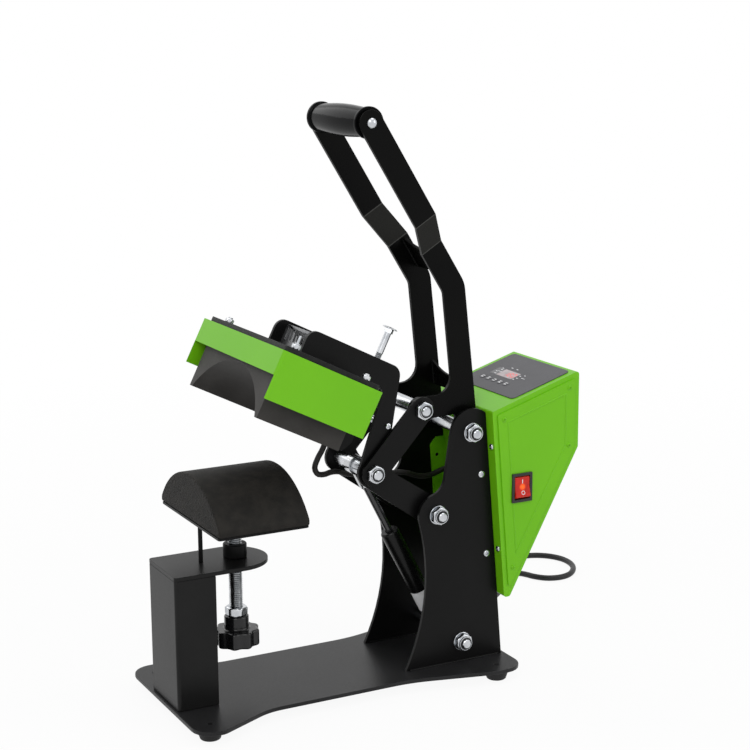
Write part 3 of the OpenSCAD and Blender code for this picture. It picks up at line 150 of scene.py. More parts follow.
floor_half, floor_z = 9, -0.0004
corners = [(floor_half * x, floor_half * y, floor_z) for x, y in ((-1, -1), (1, -1), (1, 1), (-1, 1))]
floor_mesh = bpy.data.meshes.new("floor")
floor_mesh.from_pydata(corners, [], [(0, 1, 2, 3)])
floor = stood("floor", floor_mesh)
paper = bpy.data.materials.new("studio_paper")
paper.use_nodes = True
tree = paper.node_tree
tree.nodes.remove(tree.nodes["Principled BSDF"])
matt = node(tree, "ShaderNodeBsdfDiffuse", {"Color": srgb(235, 235, 235)})
glow = node(tree, "ShaderNodeEmission", {"Color": white, "Strength": 1.0})
out = node(tree, "ShaderNodeVectorMath", {0: here(tree)}, operation="LENGTH")
far = node(tree, "ShaderNodeMapRange", {"Value": out.outputs["Value"], "From Min": 0.55, "From Max": 1.6,
                                        "To Min": 0.93, "To Max": 1.0})
share = worked(tree, "MULTIPLY", seen_by_lens(tree), far.outputs[0])
blend = node(tree, "ShaderNodeMixShader", {0: share, 1: matt.outputs[0], 2: glow.outputs[0]})
tree.links.new(blend.outputs[0], tree.nodes["Material Output"].inputs["Surface"])
floor_mesh.materials.append(paper)
floor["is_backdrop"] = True

for name, place, aim, size, power in (
    ("key_lamp", (-1.3, -1.5, 2.0), (0.0, 0.0, 0.25), 1.3, 15.0),
    ("side_lamp", (1.6, -1.3, 1.2), (0.0, 0.0, 0.2), 1.2, 6.5),
    ("top_lamp", (0.5, -0.2, 2.2), (0.15, 0.0, 0.3), 1.0, 7.0),
    ("back_lamp", (-0.6, 1.9, 1.6), (0.0, 0.0, 0.3), 1.4, 8.0),
):
    lamp = stood(name, bpy.data.lights.new(name, "AREA"))
    lamp.data.shape, lamp.data.size, lamp.data.energy = "SQUARE", size, power
    lamp.location = place
    lamp.rotation_mode = "QUATERNION"
    lamp.rotation_quaternion = (Vector(aim) - Vector(place)).to_track_quat("-Z", "Y")

# Power cord: a round rubber mains lead, moulded into its strain relief at the box's sloped back.
# It falls to the floor, runs out to the side and is coiled behind the machine with its plug.


def finish(name, colour, second, rough, metal=0.0, patch=0.02, grain=0.0006, depth=0.12, swing=0.06,
           coat=0.0, spec=0.5):
    """A surface that drifts between two shades, with sheen and relief on a fine grain, all in metres."""
    made = bpy.data.materials.new(name)
    made.use_nodes = True
    tree = made.node_tree
    shader = tree.nodes["Principled BSDF"]
    at = here(tree)
    drift = node(tree, "ShaderNodeTexNoise", {"Vector": at, "Scale": 1 / patch, "Detail": 4.0})
    shades = node(tree, "ShaderNodeValToRGB", {"Fac": drift.outputs["Fac"]})
    for stop, shade, place in zip(shades.color_ramp.elements, (second, colour), (0.35, 0.65)):
        stop.color, stop.position = shade, place
    tree.links.new(shades.outputs["Color"], shader.inputs["Base Color"])
    fine = node(tree, "ShaderNodeTexNoise", {"Vector": at, "Scale": 1 / grain, "Detail": 3.0})
    sheen = node(tree, "ShaderNodeMapRange", {"Value": fine.outputs["Fac"], "From Min": 0.3, "From Max": 0.7,
                                              "To Min": rough - swing, "To Max": rough + swing})
    tree.links.new(sheen.outputs[0], shader.inputs["Roughness"])
    relief = node(tree, "ShaderNodeBump", {"Height": fine.outputs["Fac"], "Strength": depth,
                                           "Distance": grain * 0.5})
    tree.links.new(relief.outputs["Normal"], shader.inputs["Normal"])
    for key, value in (("Metallic", metal), ("Specular IOR Level", spec), ("Coat Weight", coat),
                       ("Coat Roughness", 0.12)):
        shader.inputs[key].default_value = value
    return made


def mm(*v):
    """A place or a size in millimetres, in metres."""
    return Vector([x / 1000 for x in v])


def smoothed(points, step):
    """Points along a smooth curve through these, a step apart, and the curve's length."""
    p = [2 * points[0] - points[1], *points, 2 * points[-1] - points[-2]]
    way = []
    for a, b, c, d in zip(p, p[1:], p[2:], p[3:]):
        for i in range(16):
            t = i / 16
            way.append(0.5 * (2 * b + (c - a) * t + (2 * a - 5 * b + 4 * c - d) * t * t
                              + (3 * b - a - 3 * c + d) * t**3))
    way.append(points[-1])
    run = np.concatenate([[0], np.cumsum([(b - a).length for a, b in zip(way, way[1:])])])
    spots = np.linspace(0, run[-1], max(2, round(run[-1] / step)) + 1)
    flat = np.array([list(v) for v in way])
    return [Vector([float(np.interp(s, run, flat[:, k])) for k in range(3)]) for s in spots], float(run[-1])


def placed(name, mesh, smooth_to=32):
    """An object for a mesh, with faces pointing out and soft shading up to that angle."""
    b = bmesh.new()
    b.from_mesh(mesh)
    bmesh.ops.remove_doubles(b, verts=b.verts, dist=1e-7)
    bmesh.ops.recalc_face_normals(b, faces=b.faces)
    b.to_mesh(mesh)
    b.free()
    mesh.shade_smooth()
    mesh.set_sharp_from_angle(angle=radians(smooth_to))
    return stood(name, mesh)


def swept(name, points, radii, sides=16):
    """A closed tube along the points, with one radius for each, its rings carried round without twisting."""
    verts, faces = [], []
    last = len(points) - 1
    side = (points[1] - points[0]).cross(Vector((0, 0, 1)))
    side = (side if side.length > 1e-9 else Vector((1, 0, 0))).normalized()
    for i, (p, r) in enumerate(zip(points, radii)):
        way = (points[min(i + 1, last)] - points[max(i - 1, 0)]).normalized()
        side = (side - side.dot(way) * way).normalized()
        other = way.cross(side)
        for k in range(sides):
            a = 2 * pi * k / sides
            verts.append(p + r * (cos(a) * side + sin(a) * other))
    for i in range(last):
        for k in range(sides):
            n = (k + 1) % sides
            faces.append((i * sides + k, i * sides + n, (i + 1) * sides + n, (i + 1) * sides + k))
    faces.append(tuple(range(sides - 1, -1, -1)))
    faces.append(tuple(last * sides + k for k in range(sides)))
    mesh = bpy.data.meshes.new(name)
    mesh.from_pydata(verts, [], faces)
    return placed(name, mesh)


def dressed(made, body, material, slot, *nodes):
    """Gives a piece its finish, its body and the solids that it stands for."""
    if material:
        made.data.materials.clear()
        made.data.materials.append(material)
    if nodes:
        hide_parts(*nodes)
    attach(made, body)
    return made


rubber = finish("cord_rubber", srgb(34, 34, 35), srgb(27, 27, 28), 0.42, patch=0.03, grain=0.0007, spec=0.3)
cord_radius = 0.0035
cord_root, cord_way = mm(162.66, 30, 120), Vector((0.8776, 0, -0.4795))
cord_points = [mm(*p) for p in (
    (200, 31, 99), (209, 37, 88), (214, 48, 73), (218, 62, 56), (222, 78, 39), (225, 95, 24), (228, 113, 12),
    (231, 131, 6), (236, 150, 3.6), (244, 170, 3.6), (256, 188, 3.6), (272, 202, 3.6), (291, 208, 3.6),
    (309, 204, 3.6), (321, 191, 3.6), (328, 175, 3.6), (338, 163, 3.6), (353, 158, 3.6), (368, 161, 3.6),
    (381, 171, 3.6), (391, 185, 3.6), (396, 200, 3.6), (396, 217, 3.6), (389, 233, 3.6), (376, 245, 3.6),
    (358, 251, 3.6), (338, 254, 3.6), (315, 254, 3.6), (290, 251, 3.6), (265, 247, 3.6), (240, 242, 3.6),
    (215, 238, 3.6),
)]
# The coil winds in, climbs one pitch in the middle and winds out on top.
coil_x, coil_y, coil_reach, coil_pitch = 180, 190, 46, 7.7
coil_turns, turn_steps, lying_z = 4.25, 24, 3.6
coil = []
for i in range(round(coil_turns * turn_steps) + 1):
    t = i / turn_steps
    reach = coil_reach - coil_pitch * (coil_turns / 2 - abs(t - coil_turns / 2))
    climbed = min(1, max(0, 2 * (t - coil_turns / 2) + 0.5))
    a = radians(90 + 360 * t)
    coil.append(mm(coil_x + reach * cos(a), coil_y + reach * sin(a), lying_z + coil_pitch * climbed))
cord_end = [coil[-1] - mm(0, 10, 0), coil[-1] - mm(0, 20, 0)]
cord_path, cord_long = smoothed([cord_root, cord_root + cord_way * 0.03, *cord_points, coil[0] + mm(7, 0, 0),
                                 *coil, *cord_end], 0.004)
lead = swept("power_lead", cord_path, [cord_radius] * len(cord_path))
dressed(lead, "root", rubber, "cord_rubber", "power_cord", "cord_coil")

# Strain relief: a moulded rubber sleeve with cut ribs that let it bend with the lead.
# A collar grips it in the sheet of the box.
collar = [(0.0, 7.7), (3.0, 7.7), (3.3, 6.7)]
first_rib, rib_pitch, rib_radius, rib_fall = 3.6, 3.3, 6.6, 0.3
profile = list(collar)
for i in range(8):
    s, r = first_rib + i * rib_pitch, rib_radius - i * rib_fall
    profile += [(s, r), (s + 1.9, r - 0.15), (s + 2.1, r - 1.0), (s + 3.1, r - 1.1)]
profile.append((30.0, 4.4))
relief = swept("strain_relief", [cord_root + cord_way * (s / 1000) for s, r in profile],
               [r / 1000 for s, r in profile], 24)
dressed(relief, "root", rubber, "cord_rubber", "cord_relief")

# Mains plug: moulded in the lead's own rubber, with finger hollows in its sides.
# Two flat blades and a round earth pin stand out of its face.


def broken_edges(node_name, made_name, body, material, slot, width=0.0005, segments=2):
    """A copy of a CAD solid with its triangles merged into flat faces and its edges softly broken."""
    b = bmesh.new()
    b.from_mesh(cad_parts[node_name].data)
    bmesh.ops.remove_doubles(b, verts=b.verts, dist=2e-6)
    bmesh.ops.dissolve_limit(b, angle_limit=radians(0.6), verts=b.verts, edges=b.edges)
    mesh = bpy.data.meshes.new(made_name + "_solid")
    b.to_mesh(mesh)
    b.free()
    for a in [a.name for a in mesh.attributes if a.name in ("custom_normal", "sharp_edge", "sharp_face")]:
        mesh.attributes.remove(mesh.attributes[a])
    made = stood(made_name, mesh)
    mesh.shade_smooth()
    sharp = radians(32)
    if width:
        edge = made.modifiers.new("edge", "BEVEL")
        edge.width, edge.segments, edge.limit_method, edge.angle_limit = width, segments, "ANGLE", sharp
        edge.miter_outer = "MITER_ARC"
        made.modifiers.new("even", "WEIGHTED_NORMAL").keep_sharp = True
    solid = bpy.data.meshes.new_from_object(made.evaluated_get(bpy.context.evaluated_depsgraph_get()))
    made.modifiers.clear()
    made.data = solid
    solid.name = made_name
    if not width:
        solid.set_sharp_from_angle(angle=sharp)
    return dressed(made, body, material, slot, node_name)


plug = broken_edges("mains_plug", "lead_plug", "root", rubber, "cord_rubber", 0.0014, 3)

# Base plate: one 4 mm steel plate, cut to a waist, in satin black powder coat that also covers its foot screws.
# Four rubber feet hang under it, each on a screw sunk in the rubber.


def coated(node_name, body, coat, width=0.0006, segments=2, name=""):
    """A steel piece in a black coat."""
    broken_edges(node_name, name or node_name + "_coated", body, coat, "black_steel", width, segments)


black_coat = finish("black_powder_coat", srgb(14, 14, 14), srgb(10, 10, 10), 0.36,
                    patch=0.06, grain=0.0011, swing=0.05, spec=0.13)
# The base's coat is painted lighter than the black coat, as a painted reflection of the white room on its top.
base_reflection_coat = finish("base_powder_painted_reflection", srgb(36, 36, 37), srgb(28, 28, 29), 0.34,
                   patch=0.09, grain=0.0011, swing=0.05, spec=0.2)
coated("base_plate", "root", base_reflection_coat)
feet_rubber = finish("feet_rubber", srgb(30, 30, 30), srgb(22, 22, 22), 0.62, grain=0.0008, depth=0.2, spec=0.3)
broken_edges("rubber_feet", "feet_moulded", "root", feet_rubber, "feet_rubber", 0.0012, 3)
coated("foot_screws", "root", black_coat, 0.0002)

# Front post: 3 mm sheet folded to a channel that opens to the back, welded on the base.
# Its top plate ends in a round nose that carries the black nut for the pressure screw.
# The post's coat is painted a little lighter than the black coat, as a painted reflection on its faces.
post_reflection_coat = finish("post_powder_painted_reflection", srgb(26, 26, 26), srgb(19, 19, 19), 0.34,
                   patch=0.07, grain=0.0011, swing=0.05, spec=0.16)
coated("front_post", "root", post_reflection_coat, 0.0013, 3)
coated("post_top_plate", "root", post_reflection_coat, 0.001, 3, name="post_top_coated")
coated("screw_boss", "root", black_coat, 0.0012, 3, name="boss_coated")

# Weld beads: short fillets that join the uprights to the base, under the same coat.
# Each follows its joint at an uneven height, as a hand-laid bead does.


def opened(name, shape, numbers):
    """A node tree for a mesh, some numbers and a finish, with its inputs and their keys."""
    tree = bpy.data.node_groups.new(name, "GeometryNodeTree")
    new = tree.interface.new_socket
    kinds = [(shape, "Geometry"), *((k, "Float") for k in numbers), ("Finish", "Material")]
    keys = [new(k, in_out="INPUT", socket_type="NodeSocket" + kind).identifier for k, kind in kinds]
    new("Made", in_out="OUTPUT", socket_type="NodeSocketGeometry")
    return tree, node(tree, "NodeGroupInput").outputs, keys[1:]


def closed(tree, shape, material):
    """Ends a tree with real meshes in their finish."""
    real = node(tree, "GeometryNodeRealizeInstances", {"Geometry": shape})
    coat = node(tree, "GeometryNodeSetMaterial", {"Geometry": real.outputs[0], "Material": material})
    tree.links.new(coat.outputs[0], node(tree, "NodeGroupOutput").inputs[0])


def bead_tree():
    """A wavy round bead along every edge of a line."""
    tree, given, keys = opened("weld_bead", "Line", ("Radius", "Wave", "Step"))
    line = node(tree, "GeometryNodeMeshToCurve", {"Mesh": given["Line"]}).outputs[0]
    even = node(tree, "GeometryNodeResampleCurve", {"Curve": line, "Length": given["Step"]}, mode="LENGTH")
    count = node(tree, "GeometryNodeInputIndex").outputs[0]
    ripple = worked(tree, "SINE", worked(tree, "MULTIPLY", count, 1.9))
    wave = worked(tree, "ADD", 1.0, worked(tree, "MULTIPLY", ripple, given["Wave"]))
    thick = node(tree, "GeometryNodeSetCurveRadius",
                 {"Curve": even.outputs[0], "Radius": worked(tree, "MULTIPLY", wave, given["Radius"])})
    circle = node(tree, "GeometryNodeCurvePrimitiveCircle", {"Resolution": 10, "Radius": 1.0})
    solid = node(tree, "GeometryNodeCurveToMesh",
                 {"Curve": thick.outputs[0], "Profile Curve": circle.outputs[0], "Fill Caps": True})
    if "Scale" in solid.inputs:
        tree.links.new(node(tree, "GeometryNodeInputRadius").outputs[0], solid.inputs["Scale"])
    closed(tree, solid.outputs[0], given["Finish"])
    return tree, keys


def grown(name, base, kind, values, smooth_to):
    """The mesh that a node tree makes on a base mesh, with its numbers set."""
    made = stood(name, base)
    mod = made.modifiers.new("grow", "NODES")
    mod.node_group, keys = kind
    for k, v in zip(keys, values):
        mod[k] = v
    solid = bpy.data.meshes.new_from_object(made.evaluated_get(bpy.context.evaluated_depsgraph_get()))
    bpy.data.objects.remove(made)
    solid.name = name
    return placed(name, solid, smooth_to)


def beads(name, points, edges, radius, wave, step, material, body, slot):
    """Round beads along straight joints, one object."""
    base = bpy.data.meshes.new(name + "_lines")
    base.from_pydata(points, edges, [])
    return dressed(grown(name, base, bead, (radius, wave, step, material), 60), body, None, slot)


def welds(name, lines, radius, body):
    """Weld beads, each from one end of a joint to the other."""
    points = [p for line in lines for p in line]
    edges = [(2 * i, 2 * i + 1) for i in range(len(lines))]
    return beads(name, points, edges, radius, 0.14, 0.0012, black_coat, body, "black_steel")


bead = bead_tree()
plate_foot, weld_z, weld_in = 0.0155, 0.0152, 0.004
joints = []
for side, name in ((-1, "right_upright"), (1, "left_upright")):
    standing = [v.co.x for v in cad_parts[name].data.vertices if v.co.z < plate_foot]
    ends = min(standing) + weld_in, max(standing) - weld_in
    joints += [[Vector((x, side * y, weld_z)) for x in ends] for y in (0.0446, 0.049)]
welds("upright_welds", joints, 0.0014, "root")

# Pressure screw: a zinc plated M14 screw with a rolled thread, turned by a nine lobed black knob.
# It ends in a swivel socket under the platen, and a thin black rod beside it keeps the platen from turning.


def on_spots(tree, spots, part, **size):
    """The part on every spot, turned the way that the spot faces."""
    way = node(tree, "GeometryNodeInputNamedAttribute", {"Name": "way"}, data_type="FLOAT_VECTOR")
    turned = node(tree, "FunctionNodeAlignRotationToVector", {"Vector": way.outputs["Attribute"]}, axis="Z")
    return node(tree, "GeometryNodeInstanceOnPoints",
                {"Points": spots, "Instance": part, "Rotation": turned.outputs[0], **size}).outputs[0]


def thread_tree():
    """A screw thread: a ridge that climbs round a core."""
    tree, given, keys = opened("screw_thread", "Foot", ("Radius", "Pitch", "Length"))
    half_ridge = worked(tree, "MULTIPLY", given["Pitch"], 0.42)
    inner = worked(tree, "SUBTRACT", given["Radius"], half_ridge)
    turns = worked(tree, "DIVIDE", given["Length"], given["Pitch"])
    climb = node(tree, "GeometryNodeCurveSpiral", {"Resolution": 26, "Rotations": turns, "Start Radius": inner,
                                                   "End Radius": inner, "Height": given["Length"]})
    flat = node(tree, "GeometryNodeSetCurveNormal", {"Curve": climb.outputs[0]}, mode="Z_UP")
    ridge = node(tree, "GeometryNodeCurvePrimitiveCircle", {"Resolution": 4, "Radius": half_ridge})
    winding = node(tree, "GeometryNodeCurveToMesh",
                   {"Curve": flat.outputs[0], "Profile Curve": ridge.outputs[0], "Fill Caps": True})
    core_radius = worked(tree, "ADD", inner, worked(tree, "MULTIPLY", given["Pitch"], 0.02))
    core = node(tree, "GeometryNodeMeshCylinder",
                {"Vertices": 40, "Radius": core_radius, "Depth": given["Length"]})
    lift = node(tree, "ShaderNodeCombineXYZ", {2: worked(tree, "MULTIPLY", given["Length"], 0.5)})
    stem = node(tree, "GeometryNodeTransform",
                {"Geometry": core.outputs["Mesh"], "Translation": lift.outputs[0]})
    both = node(tree, "GeometryNodeJoinGeometry")
    for part in (winding, stem):
        tree.links.new(part.outputs[0], both.inputs[0])
    closed(tree, on_spots(tree, given["Foot"], both.outputs[0]), given["Finish"])
    return tree, keys


def points_facing(name, spots):
    """A mesh of bare points, each with the way that its part faces."""
    base = bpy.data.meshes.new(name + "_spots")
    base.from_pydata([Vector(p) for p, w in spots], [], [])
    facing = base.attributes.new("way", "FLOAT_VECTOR", "POINT")
    for i, (p, w) in enumerate(spots):
        facing.data[i].vector = w
    return base


def threaded(name, foot, way, radius, pitch, length, body, node_name):
    """A length of thread in place of a CAD solid."""
    made = grown(name, points_facing(name, [(foot, way)]), thread, (radius, pitch, length, worn), 25)
    dressed(made, body, None, "zinc_steel", node_name)


def islands(node_name, turned=Matrix()):
    """Lowest and highest corners of a CAD node's separate solids, in a turned frame."""
    b = bmesh.new()
    b.from_mesh(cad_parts[node_name].data)
    b.transform(turned.inverted())
    bmesh.ops.remove_doubles(b, verts=b.verts, dist=2e-6)
    seen, boxes = set(), []
    for v in b.verts:
        if v not in seen:
            heap, group = [v], []
            seen.add(v)
            while heap:
                w = heap.pop()
                group.append(tuple(w.co))
                for e in w.link_edges:
                    o = e.other_vert(w)
                    if o not in seen:
                        seen.add(o)
                        heap.append(o)
            boxes.append((Vector([min(c) for c in zip(*group)]), Vector([max(c) for c in zip(*group)])))
    b.free()
    return boxes


def turned_parts(name, profile, hexagon=False, cross=0.0, sides=48):
    """Parts turned to one profile of radius and height. A hexagon and a cross recess can be cut."""
    tree, given, keys = opened(name, "Spots", ("Radius", "Height"))
    along = node(tree, "ShaderNodeCombineXYZ", {2: 1.0}).outputs[0]
    ring = node(tree, "GeometryNodeMeshCircle", {"Vertices": sides, "Radius": profile[0][0]})
    mesh = node(tree, "GeometryNodeTransform",
                {"Geometry": ring.outputs["Mesh"], "Translation": (0, 0, profile[0][1])}).outputs[0]
    top = None
    for (r0, z0), (r1, z1) in zip(profile, profile[1:]):
        step = node(tree, "GeometryNodeExtrudeMesh",
                    {"Mesh": mesh, "Offset": along, "Offset Scale": z1 - z0}, mode="EDGES")
        if top:
            tree.links.new(top, step.inputs["Selection"])
        top = step.outputs["Top"]
        wider = node(tree, "GeometryNodeScaleElements",
                     {"Geometry": step.outputs["Mesh"], "Selection": top, "Scale": r1 / r0}, domain="EDGE")
        mesh = wider.outputs[0]
    if hexagon:
        # What stands past the six flats is drawn in to them.
        place = node(tree, "GeometryNodeInputPosition").outputs[0]
        at = node(tree, "ShaderNodeSeparateXYZ", {0: place}).outputs
        angle = worked(tree, "ADD", worked(tree, "ARCTAN2", at["Y"], at["X"]), pi / 6)
        near = worked(tree, "SUBTRACT", worked(tree, "FLOORED_MODULO", angle, pi / 3), pi / 6)
        squares = [worked(tree, "MULTIPLY", at[k], at[k]) for k in "XY"]
        reach = worked(tree, "SQRT", worked(tree, "ADD", *squares))
        past = worked(tree, "MULTIPLY", worked(tree, "COSINE", near), reach)
        keep = worked(tree, "MINIMUM", worked(tree, "DIVIDE", 1.0, past), 1.0)
        spot = node(tree, "ShaderNodeCombineXYZ", {0: worked(tree, "MULTIPLY", at["X"], keep),
                                                   1: worked(tree, "MULTIPLY", at["Y"], keep), 2: at["Z"]})
        mesh = node(tree, "GeometryNodeSetPosition", {"Geometry": mesh, "Position": spot.outputs[0]}).outputs[0]
    mesh = node(tree, "GeometryNodeMergeByDistance", {"Geometry": mesh, "Distance": 0.003}).outputs[0]
    if cross:
        cut = node(tree, "GeometryNodeMeshBoolean", {"Mesh 1": mesh}, operation="DIFFERENCE")
        for a, b, deep in ((1.1, 0.2, 2.0), (0.2, 1.1, 1.9)):
            groove = node(tree, "GeometryNodeMeshCube", {"Size": (a, b, deep * cross)})
            up = node(tree, "GeometryNodeTransform",
                      {"Geometry": groove.outputs["Mesh"], "Translation": (0, 0, profile[-1][1]),
                       "Rotation": (0, 0, 0.31)})
            tree.links.new(up.outputs[0], cut.inputs["Mesh 2"])
        mesh = cut.outputs["Mesh"]
    size = node(tree, "ShaderNodeCombineXYZ", {0: given["Radius"], 1: given["Radius"], 2: given["Height"]})
    closed(tree, on_spots(tree, given["Spots"], mesh, Scale=size.outputs[0]), given["Finish"])
    return tree, keys


def repeated(name, kind, spots, radius, height, material, body, slot, *nodes):
    """The same turned part on every spot, as one object."""
    made = grown(name, points_facing(name, spots), kind, (radius, height, material), 35)
    return dressed(made, body, None, slot, *nodes)


def plated(name, kind, spots, radius, height, body, *nodes):
    """Turned parts in bright zinc plate."""
    return repeated(name, kind, spots, radius, height, zinc, body, "zinc_steel", *nodes)


def middle(low, high):
    """The middle of a box."""
    return (low + high) / 2


thread = thread_tree()
plain_nut = turned_parts("plain_nut", [
    (0.6, 0), (0.92, 0), (0.97, 0.03), (1.02, 0.06), (1.09, 0.11), (1.16, 0.18), (1.16, 0.82), (1.09, 0.89),
    (1.02, 0.94), (0.97, 0.97), (0.92, 1.0), (0.66, 1.0), (0.6, 0.94), (0.6, 0)], hexagon=True)
zinc = finish("zinc_plate", srgb(212, 214, 217), srgb(176, 180, 185), 0.22, metal=1.0, depth=0.04, swing=0.05)
worn = finish("zinc_thread", srgb(188, 190, 192), srgb(150, 153, 156), 0.3, metal=1.0, patch=0.006, depth=0.08)
straight_up = Vector((0, 0, 1))
screw_radius, screw_pitch, least_nut = 0.007, 0.002, 0.0165
for low, high in islands("pressure_screw"):
    size = high - low
    foot = Vector((middle(low, high).x, 0, low.z))
    if size.x < least_nut:
        threaded("pressure_screw_thread", foot, straight_up, screw_radius, screw_pitch, size.z,
                 "screw", "pressure_screw")
    else:
        plated("knob_nut", plain_nut, [(foot, straight_up)], min(size.x, size.y) / 2, size.z,
               "screw", "pressure_screw")
phenolic = finish("black_phenolic", srgb(22, 22, 23), srgb(15, 15, 16), 0.2,
                  grain=0.0016, depth=0.04, swing=0.05, spec=0.4)
broken_edges("screw_knob", "knob_moulded", "screw", phenolic, "knob_plastic", 0.0022, 4)
broken_edges("swivel_socket", "swivel_socket_plated", "platen", zinc, "zinc_steel", 0.0006)
coated("guide_rod", "platen", black_coat, 0.0003)

# Lower platen: a steel plate that carries a thick block of charcoal silicone foam, glued on.
# The foam is smooth on its arch and open-celled where it is cut.
coated("platen_plate", "platen", black_coat, 0.0004)
foam = finish("silicone_foam", srgb(38, 36, 33), srgb(28, 27, 25), 0.66,
              patch=0.012, grain=0.0011, depth=0.2, spec=0.16)
cells_per_metre, pit_depth, cut_skin = 520.0, 0.0016, 0.0012
(low, high), = islands("platen_pad")
tree = foam.node_tree
at = here(tree)
along = node(tree, "ShaderNodeSeparateXYZ", {0: at}).outputs["X"]
reach = worked(tree, "ABSOLUTE", worked(tree, "SUBTRACT", along, middle(low, high).x))
ends = worked(tree, "GREATER_THAN", reach, (high.x - low.x) / 2 - cut_skin)
cells = node(tree, "ShaderNodeTexVoronoi", {"Vector": at, "Scale": cells_per_metre}).outputs["Distance"]
normal = tree.nodes["Principled BSDF"].inputs["Normal"]
pits = node(tree, "ShaderNodeBump", {"Height": worked(tree, "MULTIPLY", cells, ends), "Strength": 0.9,
                                     "Distance": pit_depth, "Normal": normal.links[0].from_socket})
tree.links.new(pits.outputs["Normal"], normal)
pad = broken_edges("platen_pad", "platen_foam", "platen", foam, "silicone_foam", 0.0022, 4)

# Uprights: two 4 mm plates with a round top, a narrow neck and a waist, in satin black coat.
# They stand welded on the base, one on each side of the arm.
for side in ("right", "left"):
    coated(f"{side}_upright", "root", black_coat)

# Pivot bolts: zinc plated M10 bolts through both uprights, for the handle, the arm and the strut.
# Washers and nylon ring lock nuts close their ends, and tubes keep the parts on them apart.
lock_nut = turned_parts("lock_nut", [
    (0.6, 0), (0.92, 0), (0.97, 0.02), (1.02, 0.05), (1.09, 0.09), (1.16, 0.14), (1.16, 0.6), (1.09, 0.65),
    (1.02, 0.69), (0.97, 0.72), (0.93, 0.73), (0.88, 0.74), (0.88, 0.95), (0.85, 1.0), (0.79, 1.0),
    (0.77, 0.97), (0.77, 0.8), (0.6, 0.8), (0.6, 0)], hexagon=True)
nylon_ring = turned_parts("nylon_ring", [
    (0.6, 0), (0.775, 0), (0.775, 0.93), (0.72, 1.0), (0.63, 1.0), (0.6, 0.9), (0.6, 0)])
flat_ring = turned_parts("flat_ring", [
    (0.5, 0), (0.97, 0), (1.0, 0.15), (1.0, 0.8), (0.96, 1.0), (0.54, 1.0), (0.5, 0.85), (0.5, 0)])
nylon = finish("black_nylon", srgb(34, 34, 36), srgb(24, 24, 26), 0.4, patch=0.003, depth=0.1)
across_machine = Vector((0, 1, 0))
tallest_nut, bolt_chamfer, ring_from, ring_share = 0.012, 0.0009, 0.79, 0.15


def hardware(label, body, nuts, bolts, rings="", short=0.0):
    """Lock nuts, washers and bolts with broken ends in place of their CAD solids, across the machine."""
    for what, name, kind in (("nuts", nuts, lock_nut), ("rings", rings, flat_ring)):
        spots = []
        for low, high in islands(name) if name else ():
            side = 1 if low.y + high.y > 0 else -1
            if high.y - low.y < tallest_nut:
                foot = middle(low, high)
                foot.y = low.y if side > 0 else high.y
                spots.append((foot, side * across_machine))
                tall, across = high.y - low.y, min(high.x - low.x, high.z - low.z) / 2
        if spots:
            plated(label + "_" + what, kind, spots, across, tall, body, name)
            if what == "nuts":
                inserts = [(p + w * tall * ring_from, w) for p, w in spots]
                repeated(label + "_nut_rings", nylon_ring, inserts, across, tall * ring_share, nylon, body,
                         "switch_plastic")
    for n, (low, high) in enumerate(islands(bolts)):
        if high.y - low.y > tallest_nut:
            long = high.y - low.y - 2 * short
            c = bolt_chamfer / long
            bar = turned_parts(f"{label}_bar_{n}", [(0.001, 0), (0.84, 0), (1.0, c), (1.0, 1 - c), (0.84, 1.0),
                                                    (0.001, 1.0)])
            foot = middle(low, high)
            foot.y = low.y + short
            plated(f"{label}_bolt_{n}", bar, [(foot, across_machine)], (high.x - low.x) / 2, long, body, bolts)


hardware("pivot", "root", "lock_nuts", "pivot_bolts", "washers")
broken_edges("pivot_spacers", "pivot_spacers_plated", "root", zinc, "zinc_steel", 0.0005)

# Control box: 1.5 mm sheet folded round and painted lime green, on the backs of the uprights.
# A screwed cover of the same sheet closes each side.
green = finish("lime_paint", srgb(115, 194, 20), srgb(111, 190, 18), 0.36,
               patch=0.12, grain=0.0018, depth=0.03, swing=0.03, coat=0.25, spec=0.12)
broken_edges("box_body", "box_painted", "root", green, "green_steel", 0.0006)
for side in ("right", "left"):
    broken_edges(f"{side}_box_cover", f"{side}_cover_painted", "root", green, "green_steel", 0.0004)

# Cover ridges: a shallow ridge pressed into each cover, inside its screws.
# It follows the cover's edge and stiffens the sheet.
ridge_y, ridge_corners = 63.2, ((148.7, 129.2), (208.5, 239.3), (208.5, 293.9), (137.2, 271.8))
for side, name in ((-1, "right_cover_ridge"), (1, "left_cover_ridge")):
    beads(name, [mm(x, side * ridge_y, z) for x, z in ridge_corners], [(0, 1), (1, 2), (2, 3), (3, 0)],
          0.0009, 0.0, 0.0015, green, "root", "green_steel")

# Box screws: painted ones hold the covers, and plated pan heads hold the box through the uprights.
# Two more plated ones sit on each front flange, one above the other.
pan_head = turned_parts("pan_head", [
    (0.001, 0), (1.0, 0), (1.0, 0.15), (0.94, 0.5), (0.8, 0.8), (0.5, 1.0), (0.001, 1.0)], cross=0.6)
cover_y, upright_y, flange_y = 0.0635, 0.0488, 0.056
flange_way, low_flange, high_flange = Vector((-0.99678, 0, -0.0802)), (0.131193, 0.1344), (0.12223, 0.2458)
painted, through, front = [], [], []
for low, high in islands("box_fixings"):
    at, side = middle(low, high), (1 if low.y + high.y > 0 else -1)
    if abs(at.y) < 0.0575 and at.x < 0.14 and high.y - low.y < 0.0068:
        x, z = low_flange if at.z < 0.19 else high_flange
        front.append((Vector((x, side * flange_y, z)), flange_way))
    elif max(abs(low.y), abs(high.y)) > 0.06:
        painted.append((Vector((at.x, side * cover_y, at.z)), side * across_machine))
    else:
        through.append((Vector((at.x, side * upright_y, at.z)), side * across_machine))
repeated("cover_screws", pan_head, painted, 0.0026, 0.0012, green, "root", "green_steel", "box_fixings")
plated("upright_screws", pan_head, through, 0.004, 0.0022, "root", "box_fixings")
plated("front_screws", pan_head, front, 0.0032, 0.0018, "root", "box_fixings")

